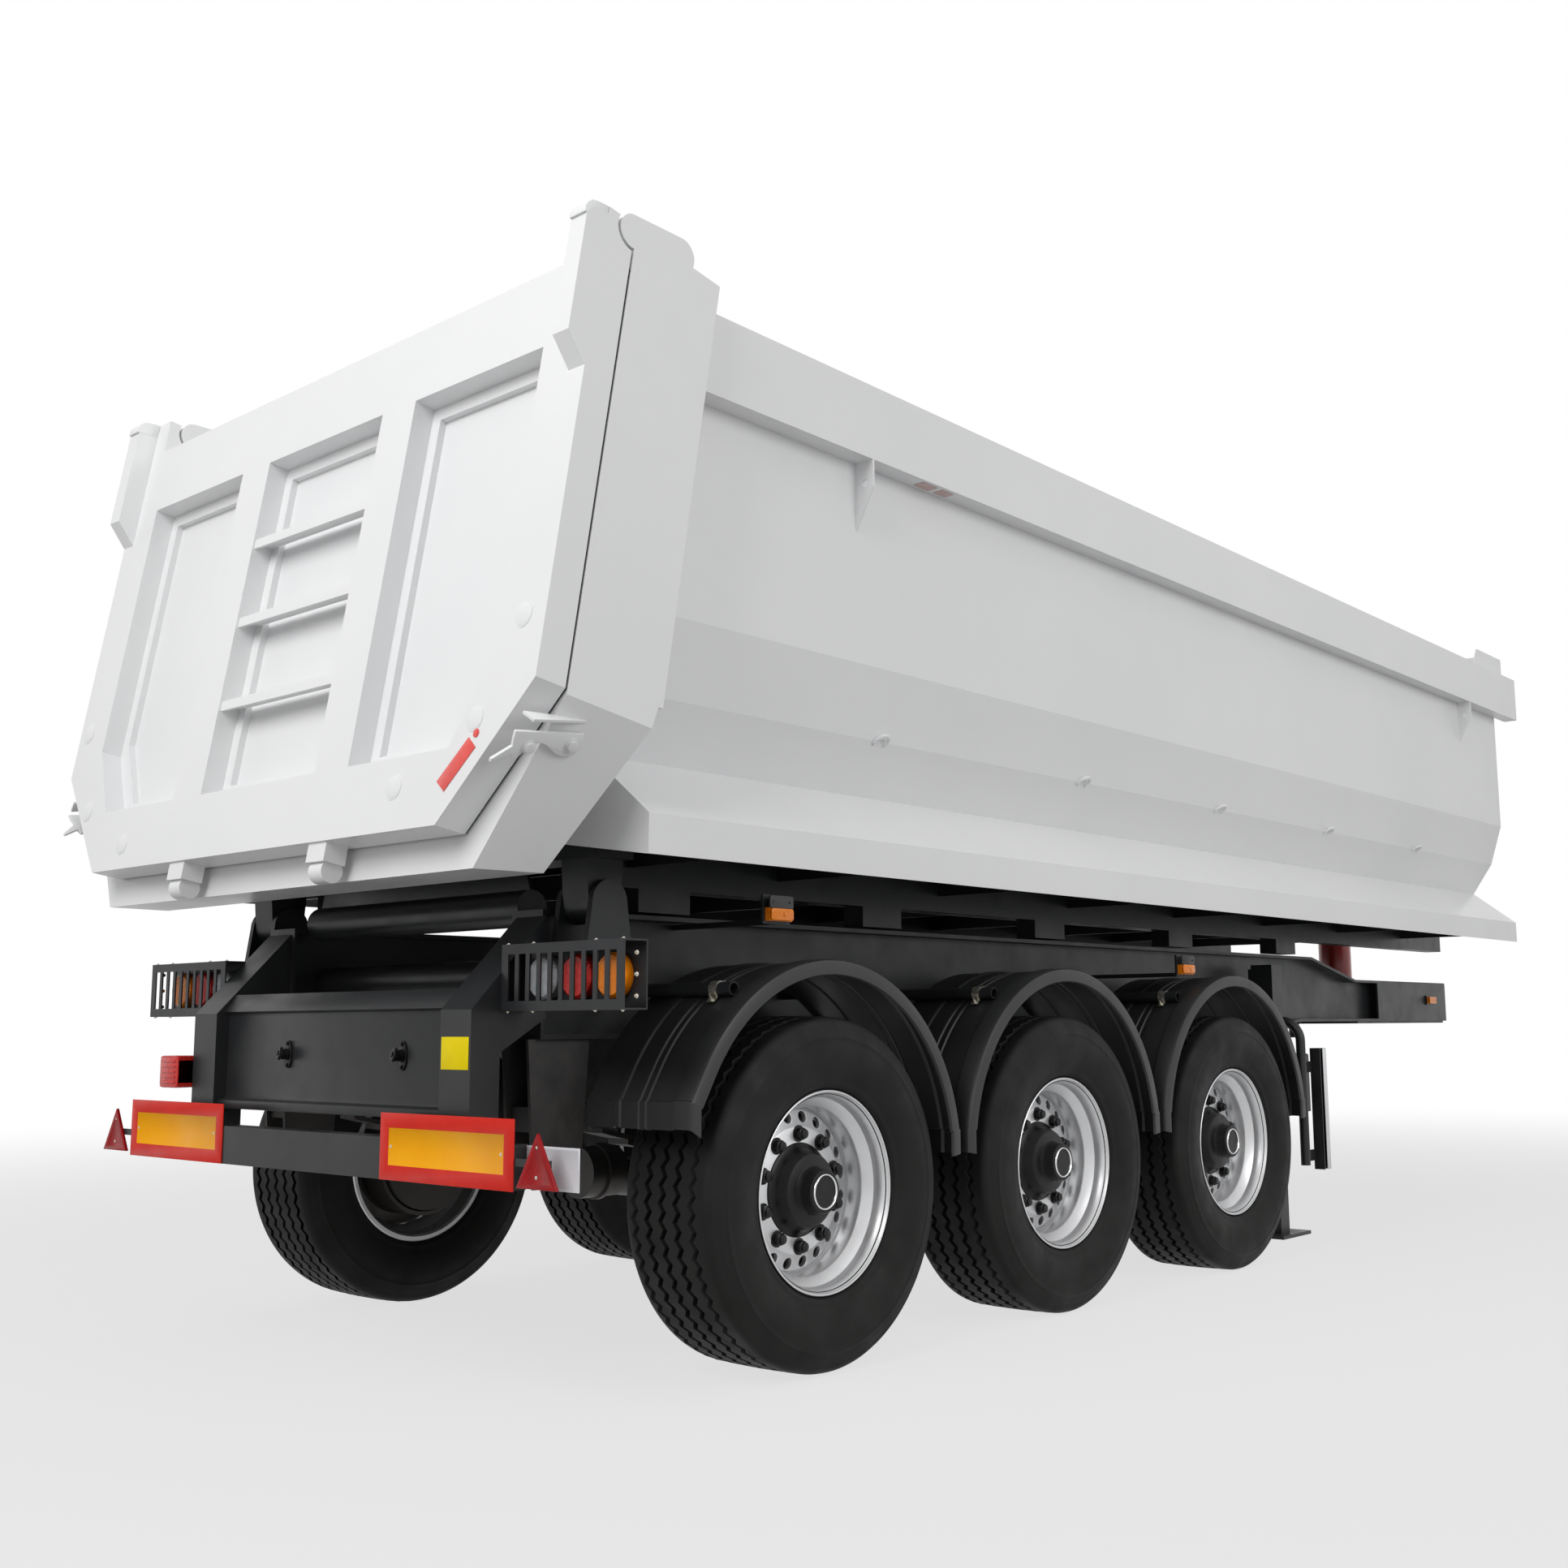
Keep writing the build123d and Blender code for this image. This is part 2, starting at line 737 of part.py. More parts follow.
def mudguard(x, is_last):
    plane = Plane(origin=(x, guard_inner_y, 0), x_dir=(1, 0, 0), z_dir=(0, -1, 0))
    sheet = make_face(plane * guard_outline(is_last, guard_radius, guard_radius - guard_sheet))
    arch = extrude(sheet, amount=guard_outer_y - guard_inner_y, dir=(0, 1, 0))
    lip_plane = Plane(origin=(x, guard_outer_y - guard_sheet, 0), x_dir=(1, 0, 0), z_dir=(0, -1, 0))
    lip = make_face(lip_plane * guard_outline(is_last, guard_radius, guard_radius - guard_lip))
    return arch + extrude(lip, amount=guard_sheet, dir=(0, 1, 0))


guards = [mudguard(x, x == axle_x[0]) for x in axle_x]
save("mudguards_left", *guards)
save("mudguards_right", *[mirror(guard, about=Plane.XZ) for guard in guards])


def guard_tubes():
    tubes = []
    for x in axle_x:
        for angle in guard_tube_angles:
            dx, z = guard_point(angle, guard_radius + guard_tube_radius)
            y0 = rail_y + rail_web / 2
            tube = rod_y(x + dx, z, guard_tube_radius, y0, guard_tube_end_y)
            tubes.append(tube - rod_y(x + dx, z, guard_tube_radius - guard_tube_wall, y0, guard_tube_end_y))
    return tubes


left_tubes = guard_tubes()
save("mudguard_tubes", *left_tubes, *[mirror(tube, about=Plane.XZ) for tube in left_tubes])


# Axles: a round beam with a brake flange and a spindle at each end
wheel_y = track / 2
hub_inner_y = wheel_y - drum_length
spindle_end_y = wheel_y + hub_length - hub_bore_margin
seat_z = axle_z + axle_tube_radius + spring_seat
axles = []
for x in axle_x:
    flange_y = hub_inner_y - part_gap
    beam = rod_y(x, axle_z, axle_tube_radius, -flange_y, flange_y)
    for side in (1, -1):
        beam += rod_y(x, axle_z, brake_flange_radius, side * (flange_y - 16), side * flange_y)
        beam += rod_y(x, axle_z, spindle_radius, side * flange_y, side * spindle_end_y)
        y0, y1 = side * (spring_y - spring_width / 2), side * (spring_y + spring_width / 2)
        beam += block(x - spring_seat_half, x + spring_seat_half, y0, y1, axle_z, seat_z)
    axles.append(beam)
save("axle_beams", *axles)


# Leaf springs between hangers; the inner hangers carry equalisers that two springs share
def leaf_arc(x, reach, z):
    """Arc of one leaf's face; longer leaves rise more towards their ends."""
    end_z = z + spring_rise * (reach / spring_reach) ** 2
    return ThreePointArc((x - reach, end_z), (x, z), (x + reach, end_z))


def leaf_spring(x):
    plane = Plane(origin=(0, spring_y - spring_width / 2, 0), x_dir=(1, 0, 0), z_dir=(0, -1, 0))
    spring = Part()
    for number in range(spring_leaves):
        reach = spring_reach * (1 - spring_leaf_step * (spring_leaves - 1 - number))
        z = seat_z + number * spring_leaf
        lower, upper = leaf_arc(x, reach, z), leaf_arc(x, reach, z + spring_leaf)
        ends = Line(lower @ 0, upper @ 0) + Line(lower @ 1, upper @ 1)
        spring += extrude(make_face(plane * (lower + upper + ends)), amount=spring_width, dir=(0, 1, 0))
    return spring


springs = [leaf_spring(x) for x in axle_x]
save("leaf_springs", *springs, *[mirror(spring, about=Plane.XZ) for spring in springs])


def hanger(x, reach_back, reach_front):
    half = hanger_half_length
    y0, y1 = spring_y - hanger_width / 2, spring_y + hanger_width / 2
    top_z = seat_z + spring_rise + spring_leaves * spring_leaf + part_gap
    solid = block(x - reach_back, x + reach_front, y0 + hanger_plate, y1 - hanger_plate, top_z, top_z + equaliser_height)
    points = [
        (x - half - hanger_flare, rail_bottom),
        (x + half + hanger_flare, rail_bottom),
        (x + half, hanger_bottom),
        (x - half, hanger_bottom),
    ]
    for near, far in ((y0, y0 + hanger_plate), (y1 - hanger_plate, y1)):
        solid += prism_y(points, near, far)
    return solid


def hangers():
    bridge = axle_pitch / 2 - spring_reach + equaliser_overlap
    places = [axle_x[0] - axle_pitch / 2] + [x + axle_pitch / 2 for x in axle_x]
    reaches_back = [hanger_half_length] + [bridge] * axle_count
    reaches_front = [bridge] * axle_count + [hanger_half_length]
    return [hanger(*row) for row in zip(places, reaches_back, reaches_front)]


left_hangers = hangers()
save("spring_hangers", *left_hangers, *[mirror(hanger, about=Plane.XZ) for hanger in left_hangers])


# Brake chambers on the back of each axle and two air tanks under the rails
def brake_chambers():
    solids = []
    z = axle_z + chamber_rise
    half = chamber_arm_half
    for x in axle_x:
        x0 = x - axle_tube_radius - chamber_stand_off
        middle = x0 - chamber_length / 2
        body = rod_x(chamber_y, z, chamber_radius, x0 - chamber_length, x0)
        body += rod_x(chamber_y, z, chamber_radius + chamber_band, middle - chamber_band, middle + chamber_band)
        body += block(x0, x, chamber_y - half, chamber_y + half, z - half, z + half)
        solids.append(body - rod_y(x, axle_z, axle_tube_radius + part_gap, 0, wheel_y))
    return solids


left_chambers = brake_chambers()
save("brake_chambers", *left_chambers, *[mirror(chamber, about=Plane.XZ) for chamber in left_chambers])


def air_tank(x, member_z):
    tank = rod_y(x, tank_z, tank_radius, -tank_length / 2, tank_length / 2)
    tank = chamfer(tank.edges().filter_by(GeomType.CIRCLE), tank_round)
    half = tank_strap_half
    for y in (tank_y, -tank_y):
        tank += block(x - half, x + half, y - half, y + half, tank_z, member_z)
    return tank


tank_places = (
    (crossmember_x[-1], (rail_top + rail_bottom) / 2 - crossmember_radius - part_gap),
    (neck_crossmember_x[0], (neck_top + neck_bottom) / 2 - neck_crossmember_radius - part_gap),
)
save("air_tanks", *[air_tank(x, z) for x, z in tank_places])


# Landing legs on their feet, with a cross shaft and a crank on the right
def square_tube(half, inner, z0, z1, bore0, bore1):
    tube = block(leg_x - half, leg_x + half, leg_y - half, leg_y + half, z0, z1)
    return tube - block(leg_x - inner, leg_x + inner, leg_y - inner, leg_y + inner, bore0, bore1)


def landing_leg():
    half, inner = leg_tube / 2, leg_inner_tube / 2
    top = rail_top - leg_top_drop
    bore_top = top - leg_wall
    outer = square_tube(half, inner + part_gap, leg_tube_bottom, top, leg_tube_bottom, bore_top)
    pad_low, pad_high = rail_bottom + leg_pad_margin, top - leg_pad_margin
    outer += block(leg_x - half, leg_x + half, rail_y + rail_width / 2, leg_y - half, pad_low, pad_high)
    foot = leg_foot_thickness
    slide = square_tube(inner, inner - leg_wall, foot, rail_bottom, foot, rail_bottom)
    run, span = leg_foot_length / 2, leg_foot_width / 2
    slide += block(leg_x - run, leg_x + run, leg_y - span, leg_y + span, 0, foot)
    return [outer, slide]


leg_left = landing_leg()
leg_right = [mirror(solid, about=Plane.XZ) for solid in leg_left]
shaft_z = rail_bottom - leg_shaft_drop
leg_inner_y = leg_y - leg_tube / 2
shaft = rod_y(leg_x, shaft_z, leg_shaft_radius, -leg_inner_y, leg_inner_y)
crank_y = -(leg_y + leg_tube / 2)
crank_end_y = crank_y - crank_reach
crank = rod_y(leg_x, shaft_z, crank_radius, crank_end_y, crank_y)
arm_x0, arm_x1 = leg_x - crank_radius, leg_x + crank_radius
crank += block(arm_x0, arm_x1, crank_end_y, crank_end_y + crank_arm, shaft_z - crank_length, shaft_z)
save("landing_legs", *leg_left, *leg_right, shaft, crank)


# Short side guards ahead of the wheels: a bent tube down from the rail, a post and its straps
def side_guard():
    x0, x1 = side_guard_x
    low, high, sheet = side_guard_bottom, side_guard_top, side_guard_sheet
    width, depth = side_guard_post
    tube_z = rail_bottom + side_guard_tube_inset + side_guard_strap * 2
    tube_y = side_guard_y - side_guard_tube_inset
    start_y = rail_y + rail_web / 2
    corners = [(x0, start_y, tube_z), (x0, tube_y, tube_z), (x0, tube_y, low + side_guard_tube_inset)]
    route = FilletPolyline(*corners, radius=side_guard_bend)
    tube = sweep(Plane(origin=route @ 0, z_dir=route % 0) * Circle(side_guard_tube_radius), path=route)
    back_y = side_guard_y - depth
    post = block(x1 - width, x1, back_y, side_guard_y, low, high)
    post -= block(x1 - width + sheet, x1 - sheet, back_y + sheet, side_guard_y, low, high)
    for drop in side_guard_strap_drops:
        z1 = high - drop
        post += block(x0, x1 - width, back_y, back_y + side_guard_strap, z1 - side_guard_strap_height, z1)
    return [tube, post - tube]


guard_left = side_guard()
save("side_guards", *guard_left, *[mirror(solid, about=Plane.XZ) for solid in guard_left])


# Hoist tube: closed at its top, open at its lower end, on two trunnions low on the front wall
hoist_top = hoist_bottom + hoist_length
stage_count = len(hoist_stage_radii)


def hoist_tube():
    bottom = hoist_bottom + hoist_stage_step * stage_count
    pin_end = hoist_tube_radius + cradle_gap + hoist_ear + cradle_gap
    tube = rod_z(hoist_x, 0, hoist_tube_radius, bottom, hoist_top + hoist_cap)
    tube += rod_y(hoist_x, trunnion_z, trunnion_boss_radius, -hoist_tube_radius, hoist_tube_radius)
    tube += rod_y(hoist_x, trunnion_z, trunnion_radius, -pin_end, pin_end)
    return tube - rod_z(hoist_x, 0, hoist_stage_radii[0] + part_gap, bottom, hoist_top + part_gap)


def hoist_stage(number):
    """One stage inside the last; the innermost one is solid and ends in an eye."""
    bottom = hoist_bottom + hoist_stage_step * (stage_count - 1 - number)
    top = hoist_top - number * hoist_wall
    stage = rod_z(hoist_x, 0, hoist_stage_radii[number], bottom, top)
    if number < stage_count - 1:
        bore = hoist_stage_radii[number + 1] + part_gap
        return stage - rod_z(hoist_x, 0, bore, bottom, top - hoist_wall + part_gap)
    neck, half = hoist_eye_neck, hoist_eye_half
    stage += block(hoist_x - neck, hoist_x + neck, -neck, neck, hoist_foot_z, bottom)
    stage += rod_y(hoist_x, hoist_foot_z, hoist_eye_radius, -half, half)
    return stage - rod_y(hoist_x, hoist_foot_z, trunnion_radius, -half, half)


save("hoist_tube", hoist_tube())
for number in range(stage_count):
    save(f"hoist_stage_{number + 1}", hoist_stage(number))


# Tipping body: outer section of the half-pipe tub, from the left rim down to the floor
tub_side = [
    (body_wall_y, body_top),
    (body_wall_y, body_wall_z),
    (body_lower_y, body_lower_z),
    (body_crease_y, body_crease_z),
    (body_pipe_y, body_pipe_z),
    (body_floor_half, body_floor),
]
tub_rear_x = lean_x(sill_bottom, 0)
frame_depth = gate_depth + gate_gap
everywhere = [(-beyond, -beyond), (beyond, -beyond), (beyond, beyond), (-beyond, beyond)]
behind_frame = lean_prism(everywhere, -beyond, frame_depth)
tub_volume = prism_x(mirrored(tub_side), tub_rear_x, body_front_x)

side_sheet = prism_x(band(tub_side[:4], body_sheet), tub_rear_x, body_front_x) - behind_frame
floor_line = tub_side[3:] + [(-y, z) for y, z in reversed(tub_side[3:])]
floor_sheet = prism_x(band(floor_line, body_sheet), tub_rear_x, body_front_x) - behind_frame
side_sheet -= floor_sheet
save("tub_side_left", side_sheet)
save("tub_side_right", mirror(side_sheet, about=Plane.XZ))
save("tub_floor", floor_sheet)


# Front wall closing the tub, its visor above the rails, and the hoist's ears
def front_wall():
    wall = prism_x(mirrored(tub_side), body_front_x, body_front_x + body_sheet)
    wall += block(body_front_x, body_front_x + body_sheet, -body_wall_y, body_wall_y, body_top, visor_top)
    wall += block(body_front_x, top_rail_front_x, -body_wall_y, body_wall_y, visor_top - body_sheet, visor_top)
    cheek = [
        (visor_rear_x, body_top),
        (visor_rear_x + visor_slope, visor_top),
        (top_rail_front_x, visor_top),
        (top_rail_front_x, body_top),
    ]
    for side in (1, -1):
        wall += prism_y(cheek, side * body_wall_y, side * (body_wall_y - body_sheet))
    x0, x1 = body_front_x + body_sheet, body_front_x + body_sheet + wall_rib
    for drop in wall_rib_drops:
        z = body_top - drop
        for side in (1, -1):
            wall += block(x0, x1, side * wall_rib_inner_y, side * body_lower_y, z, z + wall_rib)
    return wall


save("front_wall", front_wall())
ears = []
wall_x = body_front_x + body_sheet
ear_outline = [
    (wall_x, body_floor + part_gap),
    (hoist_x, trunnion_z - hoist_ear_radius),
    (hoist_x, trunnion_z + hoist_ear_radius),
    (wall_x, trunnion_z + hoist_ear_rise),
]
for side in (1, -1):
    y0 = side * (hoist_tube_radius + cradle_gap)
    y1 = y0 + side * hoist_ear
    ear = prism_y(ear_outline, y0, y1) + rod_y(hoist_x, trunnion_z, hoist_ear_radius, y0, y1)
    ears.append(ear - rod_y(hoist_x, trunnion_z, trunnion_radius + shaft_clearance, y0, y1))
save("hoist_ears", *ears)


# Top rails: folded channels along the rims, closed at the front, with gussets below
def top_rail():
    rail_outer = body_wall_y + top_rail_width
    rail_bottom_z = body_top - top_rail_height
    profile = [
        (body_wall_y, rail_bottom_z),
        (rail_outer, rail_bottom_z),
        (rail_outer, body_top),
        (body_wall_y, body_top),
    ]
    rear_x = lean_x(rail_bottom_z, 0)
    rail = prism_x(band(profile, -body_sheet), rear_x, top_rail_front_x)
    rail += block(top_rail_front_x - body_sheet, top_rail_front_x, body_wall_y, rail_outer, rail_bottom_z, body_top)
    outer_height, wall_height = gusset_heights
    hole_out, hole_down = gusset_hole_place
    points = [
        (body_wall_y, rail_bottom_z),
        (rail_outer, rail_bottom_z),
        (rail_outer, rail_bottom_z - outer_height),
        (body_wall_y, rail_bottom_z - wall_height),
    ]
    hole_y, hole_z = body_wall_y + hole_out, rail_bottom_z - hole_down
    for x in gusset_x:
        gusset = prism_x(points, x, x + body_sheet)
        rail += gusset - rod_x(hole_y, hole_z, gusset_hole_radius, x, x + body_sheet)
    return rail


# Rear frame: leaning posts and a sill hugging the tub
def post_side_outline():
    return [
        (gate_half_width, slope(visor_top - post_top_drop)),
        (gate_half_width, slope(frame_chamfer_z)),
        (sill_bottom_half, slope(sill_bottom)),
    ]


def rear_frame():
    frame = lean_prism(mirrored(post_side_outline()), frame_depth, frame_depth + post_depth)
    opening = [(-body_wall_y, body_top), (body_wall_y, body_top), (body_wall_y, beyond), (-body_wall_y, beyond)]
    frame -= prism_x(mirrored(tub_side), -beyond, 0) + prism_x(opening, -beyond, 0)
    sill_front_x = lean_x(sill_bottom, frame_depth) + sill_depth
    below = [
        (sill_front_x + post_front_run, sill_bottom + post_front_rise),
        (sill_front_x, sill_bottom),
        (-beyond, sill_bottom),
        (-beyond, 0),
        (0, 0),
        (0, sill_bottom + post_front_rise),
    ]
    frame -= prism_y(below, -beyond, beyond)
    notch = hinge_ear_radius + arm_clearance
    for side in (1, -1):
        y0, y1 = side * (hinge_ear_inner - hinge_side_gap), side * (hinge_ear_outer + hinge_side_gap)
        frame -= rod_y(hinge_x, hinge_z, notch, y0, y1)
    return frame


frame_solid = rear_frame()
save("rear_frame", frame_solid)
rail_solid = top_rail() - frame_solid - behind_frame
save("top_rail_left", rail_solid)
save("top_rail_right", mirror(rail_solid, about=Plane.XZ))


# Side skirts: sloping plates with a turned-down lip and a closed rear end
def side_skirt():
    top_y = body_crease_y - skirt_overlap
    top_z = body_crease_z + skirt_overlap * skirt_slope
    line = [(top_y, top_z), (skirt_outer_y, skirt_fold_z), (skirt_outer_y, skirt_bottom)]
    skirt = prism_x(band(line, skirt_sheet), skirt_rear_x, body_front_x)
    inner_y = skirt_outer_y - skirt_sheet
    end = [
        (body_crease_y, body_crease_z - skirt_sheet),
        (inner_y, skirt_fold_z),
        (inner_y, skirt_bottom),
        (runner_y + runner_width, skirt_bottom + skirt_sheet * 10),
    ]
    return skirt + prism_x(end, skirt_rear_x, skirt_rear_x + skirt_sheet) - tub_volume


skirt_slope = (body_crease_z - skirt_fold_z) / (skirt_outer_y - body_crease_y)
skirt_solid = side_skirt() - frame_solid
save("skirt_left", skirt_solid)
save("skirt_right", mirror(skirt_solid, about=Plane.XZ))


# Runners under the floor with rest pads, and bearers that carry the skirts
def runner():
    y0, y1 = runner_y - runner_width / 2, runner_y + runner_width / 2
    beam = block(runner_rear_x, body_front_x, y0, y1, runner_bottom, body_crease_z) - tub_volume
    for x in runner_pad_x:
        beam += block(x, x + runner_pad_length, y0, y1, rail_top + runner_pad_gap, runner_bottom)
    return beam


runner_left = runner()
save("bed_runners", *left_and_right(runner_left))


def bearers():
    solids = []
    outer = [
        (runner_y + runner_width / 2, body_crease_z),
        (runner_y + runner_width / 2, bearer_bottom),
        (skirt_outer_y - skirt_sheet, bearer_bottom),
        (skirt_outer_y - skirt_sheet, skirt_fold_z),
        (body_crease_y, body_crease_z),
    ]
    for x in bearer_x:
        arm = prism_x(outer, x, x + bearer_sheet) - tub_volume - skirt_solid
        inner_y = runner_y - runner_width / 2
        cross = block(x, x + bearer_sheet, -inner_y, inner_y, bearer_bottom, body_floor + bearer_rise) - tub_volume
        solids += [arm, mirror(arm, about=Plane.XZ), cross]
    return solids


save("bed_bearers", *bearers())


# Tipping lugs: a cross beam under the tub with a bored boss over each chassis bracket
def tip_lugs():
    x0, x1 = pivot_x - lug_half_length, pivot_x + lug_half_length
    beam = block(x0, x1, -lug_beam_half, lug_beam_half, bearer_bottom, body_crease_z) - tub_volume
    web = [
        (x0, bearer_bottom),
        (x1, bearer_bottom),
        (pivot_x + pivot_boss_radius, pivot_z),
        (pivot_x - pivot_boss_radius, pivot_z),
    ]
    for side in (1, -1):
        y0, y1 = side * pivot_boss_inner_y, side * pivot_boss_outer_y
        beam += prism_y(web, y0, y1) + rod_y(pivot_x, pivot_z, pivot_boss_radius, y0, y1)
        beam -= rod_y(pivot_x, pivot_z, pivot_pin_radius + shaft_clearance, y0, y1)
    return beam


save("tip_pivot_lugs", tip_lugs())


# Gate hinge links: humped plates on each post carrying the hinge pin
def hinge_links():
    outer_plate = (hinge_ear_outer + hinge_side_gap, gate_half_width)
    inner_plate = (hinge_ear_inner - hinge_side_gap - hinge_link_thickness, hinge_ear_inner - hinge_side_gap)
    pieces = None
    for y0, y1 in (outer_plate, inner_plate):
        slab = block(hinge_x, (hinge_x + hinge_link_length), y0, y1, hinge_z - hinge_link_radius, hinge_z + hinge_link_radius)
        for x in (hinge_x, (hinge_x + hinge_link_length)):
            slab += rod_y(x, hinge_z, hinge_link_radius, y0, y1)
        pieces = slab if pieces is None else pieces + slab
    pieces += rod_y(hinge_x, hinge_z, hinge_pin_radius, inner_plate[0], outer_plate[1])
    return pieces - frame_solid - rail_solid - side_sheet


save("gate_hinge_links", *left_and_right(hinge_links()))


# Latches lying beside the gate on the frame's sloping faces: (across, along, forward)
def latch():
    run = Vector(gate_half_width - sill_bottom_half, slope(frame_chamfer_z) - slope(sill_bottom))
    tilt = math.degrees(math.atan2(-run.X, run.Y))
    latch_s = slope(frame_chamfer_z - latch_drop)
    below = slope(frame_chamfer_z) - latch_s
    face_y = gate_half_width - run.X * below / run.Y
    rear, front = frame_depth - latch_reach, frame_depth + latch_length
    body = Pos(5, 0, (frame_depth + front) / 2) * Box(10, 76, latch_length)
    for along in (-26, 22):
        body += Pos(30, along, (rear + front) / 2) * Box(40, 8, front - rear)
    for forward in (frame_depth + 30, front - 30):
        body += Pos(32, -2, forward) * Rot(90, 0, 0) * Cylinder(12, 68)
    return lean_plane(0).location * Pos(face_y, latch_s, 0) * Rot(0, 0, tilt) * body


save("gate_latches", *left_and_right(latch()))


# Rope hooks: half rings standing out from the fold of each side
hooks = []
for x in hook_x:
    low, high = body_lower_z - hook_wire / 2, body_lower_z + hook_wire / 2
    y = body_lower_y + hook_stand_off
    ring = rod_z(x, y, hook_radius, low, high) - rod_z(x, y, hook_radius - hook_wire, low, high)
    hooks += left_and_right(ring - tub_volume)
save("rope_hooks", *hooks)


# Gate: one sheet behind a welded frame with two posts, three rungs and corner arms
gate_side = [
    (gate_half_width, slope(gate_top)),
    (gate_half_width, slope(gate_chamfer_z)),
    (gate_bottom_half, slope(gate_bottom)),
]
frame_face = gate_depth - gate_sheet
save("gate_panel", lean_prism(mirrored(gate_side), frame_face, gate_depth))


def gate_cells(inset):
    """Outlines of the three panels between the gate's bars, drawn in by an inset."""
    top = slope(gate_top - gate_top_bar) - inset
    bottom = slope(gate_bottom + gate_bottom_bar) + inset
    outer = gate_half_width - gate_stile - inset
    side_cell = [
        (gate_post_outer + inset, bottom),
        (outer - gate_cell_cut, bottom),
        (outer, bottom + gate_cell_rise),
        (outer, top),
        (gate_post_outer + inset, top),
    ]
    middle = gate_post_inner - inset
    middle_cell = [(middle, top), (middle, bottom), (-middle, bottom), (-middle, top)]
    return [side_cell, [(-y, s) for y, s in side_cell], middle_cell]


def lean_point(depth, s):
    """(x, z) of a point given by its depth and its distance up the slope."""
    x = gate_x + s * math.sin(lean) + depth * math.cos(lean)
    z = gate_ref_z + s * math.cos(lean) - depth * math.sin(lean)
    return x, z


def gate_arm(side):
    y0, y1 = side * arm_inner_y, side * gate_half_width
    s0, s1 = slope(gate_top), slope(arm_top_z)
    arm = lean_prism([(y0, s0), (y1, s0), (y1, s1), (y0, s1)], 0, gate_depth)
    reach = hinge_link_radius + arm_clearance
    ear0, ear1 = side * hinge_ear_inner, side * hinge_ear_outer
    for near, far in ((y0, ear0), (ear1, y1)):
        arm -= rod_y(hinge_x, hinge_z, reach, near, far)
        arm -= block(hinge_x - arm_top_gap, hinge_x + reach, near, far, hinge_z, hinge_z + 2 * reach)
    arm += rod_y(hinge_x, hinge_z, hinge_ear_radius, ear0, ear1)
    arm -= rod_y(hinge_x, hinge_z, hinge_pin_radius + shaft_clearance, ear0, ear1)
    flange = [
        lean_point(0, slope(flange_cut_z)),
        lean_point(-flange_reach, slope(flange_bottom_z)),
        lean_point(-flange_reach, slope(flange_top_z) - flange_corner),
        lean_point(-flange_reach + flange_corner, slope(flange_top_z)),
        lean_point(0, slope(flange_top_z)),
    ]
    return arm + prism_y(flange, y1 - side * flange_width, y1)


def gate_frame():
    frame = lean_prism(mirrored(gate_side), 0, frame_face)
    for cell in gate_cells(0):
        frame -= lean_prism(cell, 0, frame_face - gate_step_depth)
    for cell in gate_cells(gate_step):
        frame -= lean_prism(cell, frame_face - gate_step_depth, frame_face)
    for side in (1, -1):
        frame += gate_arm(side)
    for drop in rung_drops:
        frame += gate_rung(slope(gate_top - drop))
    for y in gate_lug_y:
        frame += gate_lug(y)
    return frame


def gate_rung(s):
    rung_depth = frame_face - gate_step_depth
    profile = [
        lean_point(rung_inset, s),
        lean_point(rung_depth, s),
        lean_point(rung_depth, s - rung_sheet),
        lean_point(rung_inset + rung_sheet, s - rung_sheet),
        lean_point(rung_inset + rung_sheet, s - rung_lip),
        lean_point(rung_inset, s - rung_lip),
    ]
    return prism_y(profile, -gate_post_inner, gate_post_inner)


def gate_lug(y):
    """Block and barrel below the gate's bottom bar."""
    s = slope(gate_bottom)
    low = s - gate_lug_height
    y0, y1 = y - gate_lug_half, y + gate_lug_half
    lug = lean_prism([(y0, low), (y1, low), (y1, s), (y0, s)], *gate_lug_depths)
    barrel_x, barrel_z = lean_point(gate_barrel_depth, s - gate_lug_drop + gate_lug_radius)
    return lug + rod_y(barrel_x, barrel_z, gate_lug_radius, y0 + gate_barrel_margin, y1 - gate_barrel_margin)


save("gate_frame", gate_frame())


# Wheels: a tyre on a dished rim, with hub, drum and wheel nuts in one turned piece
def tyre():
    half = rim_width / 2 - rim_wall - part_gap
    right_side = [
        (half, bead_radius),
        (half, rim_flange_radius + rim_wall / 2),
        (tyre_width / 2, tyre_bulge_radius),
        (tread_width / 2, tyre_radius),
    ]
    return turned(right_side + [(-y, radius) for y, radius in reversed(right_side)], 0)


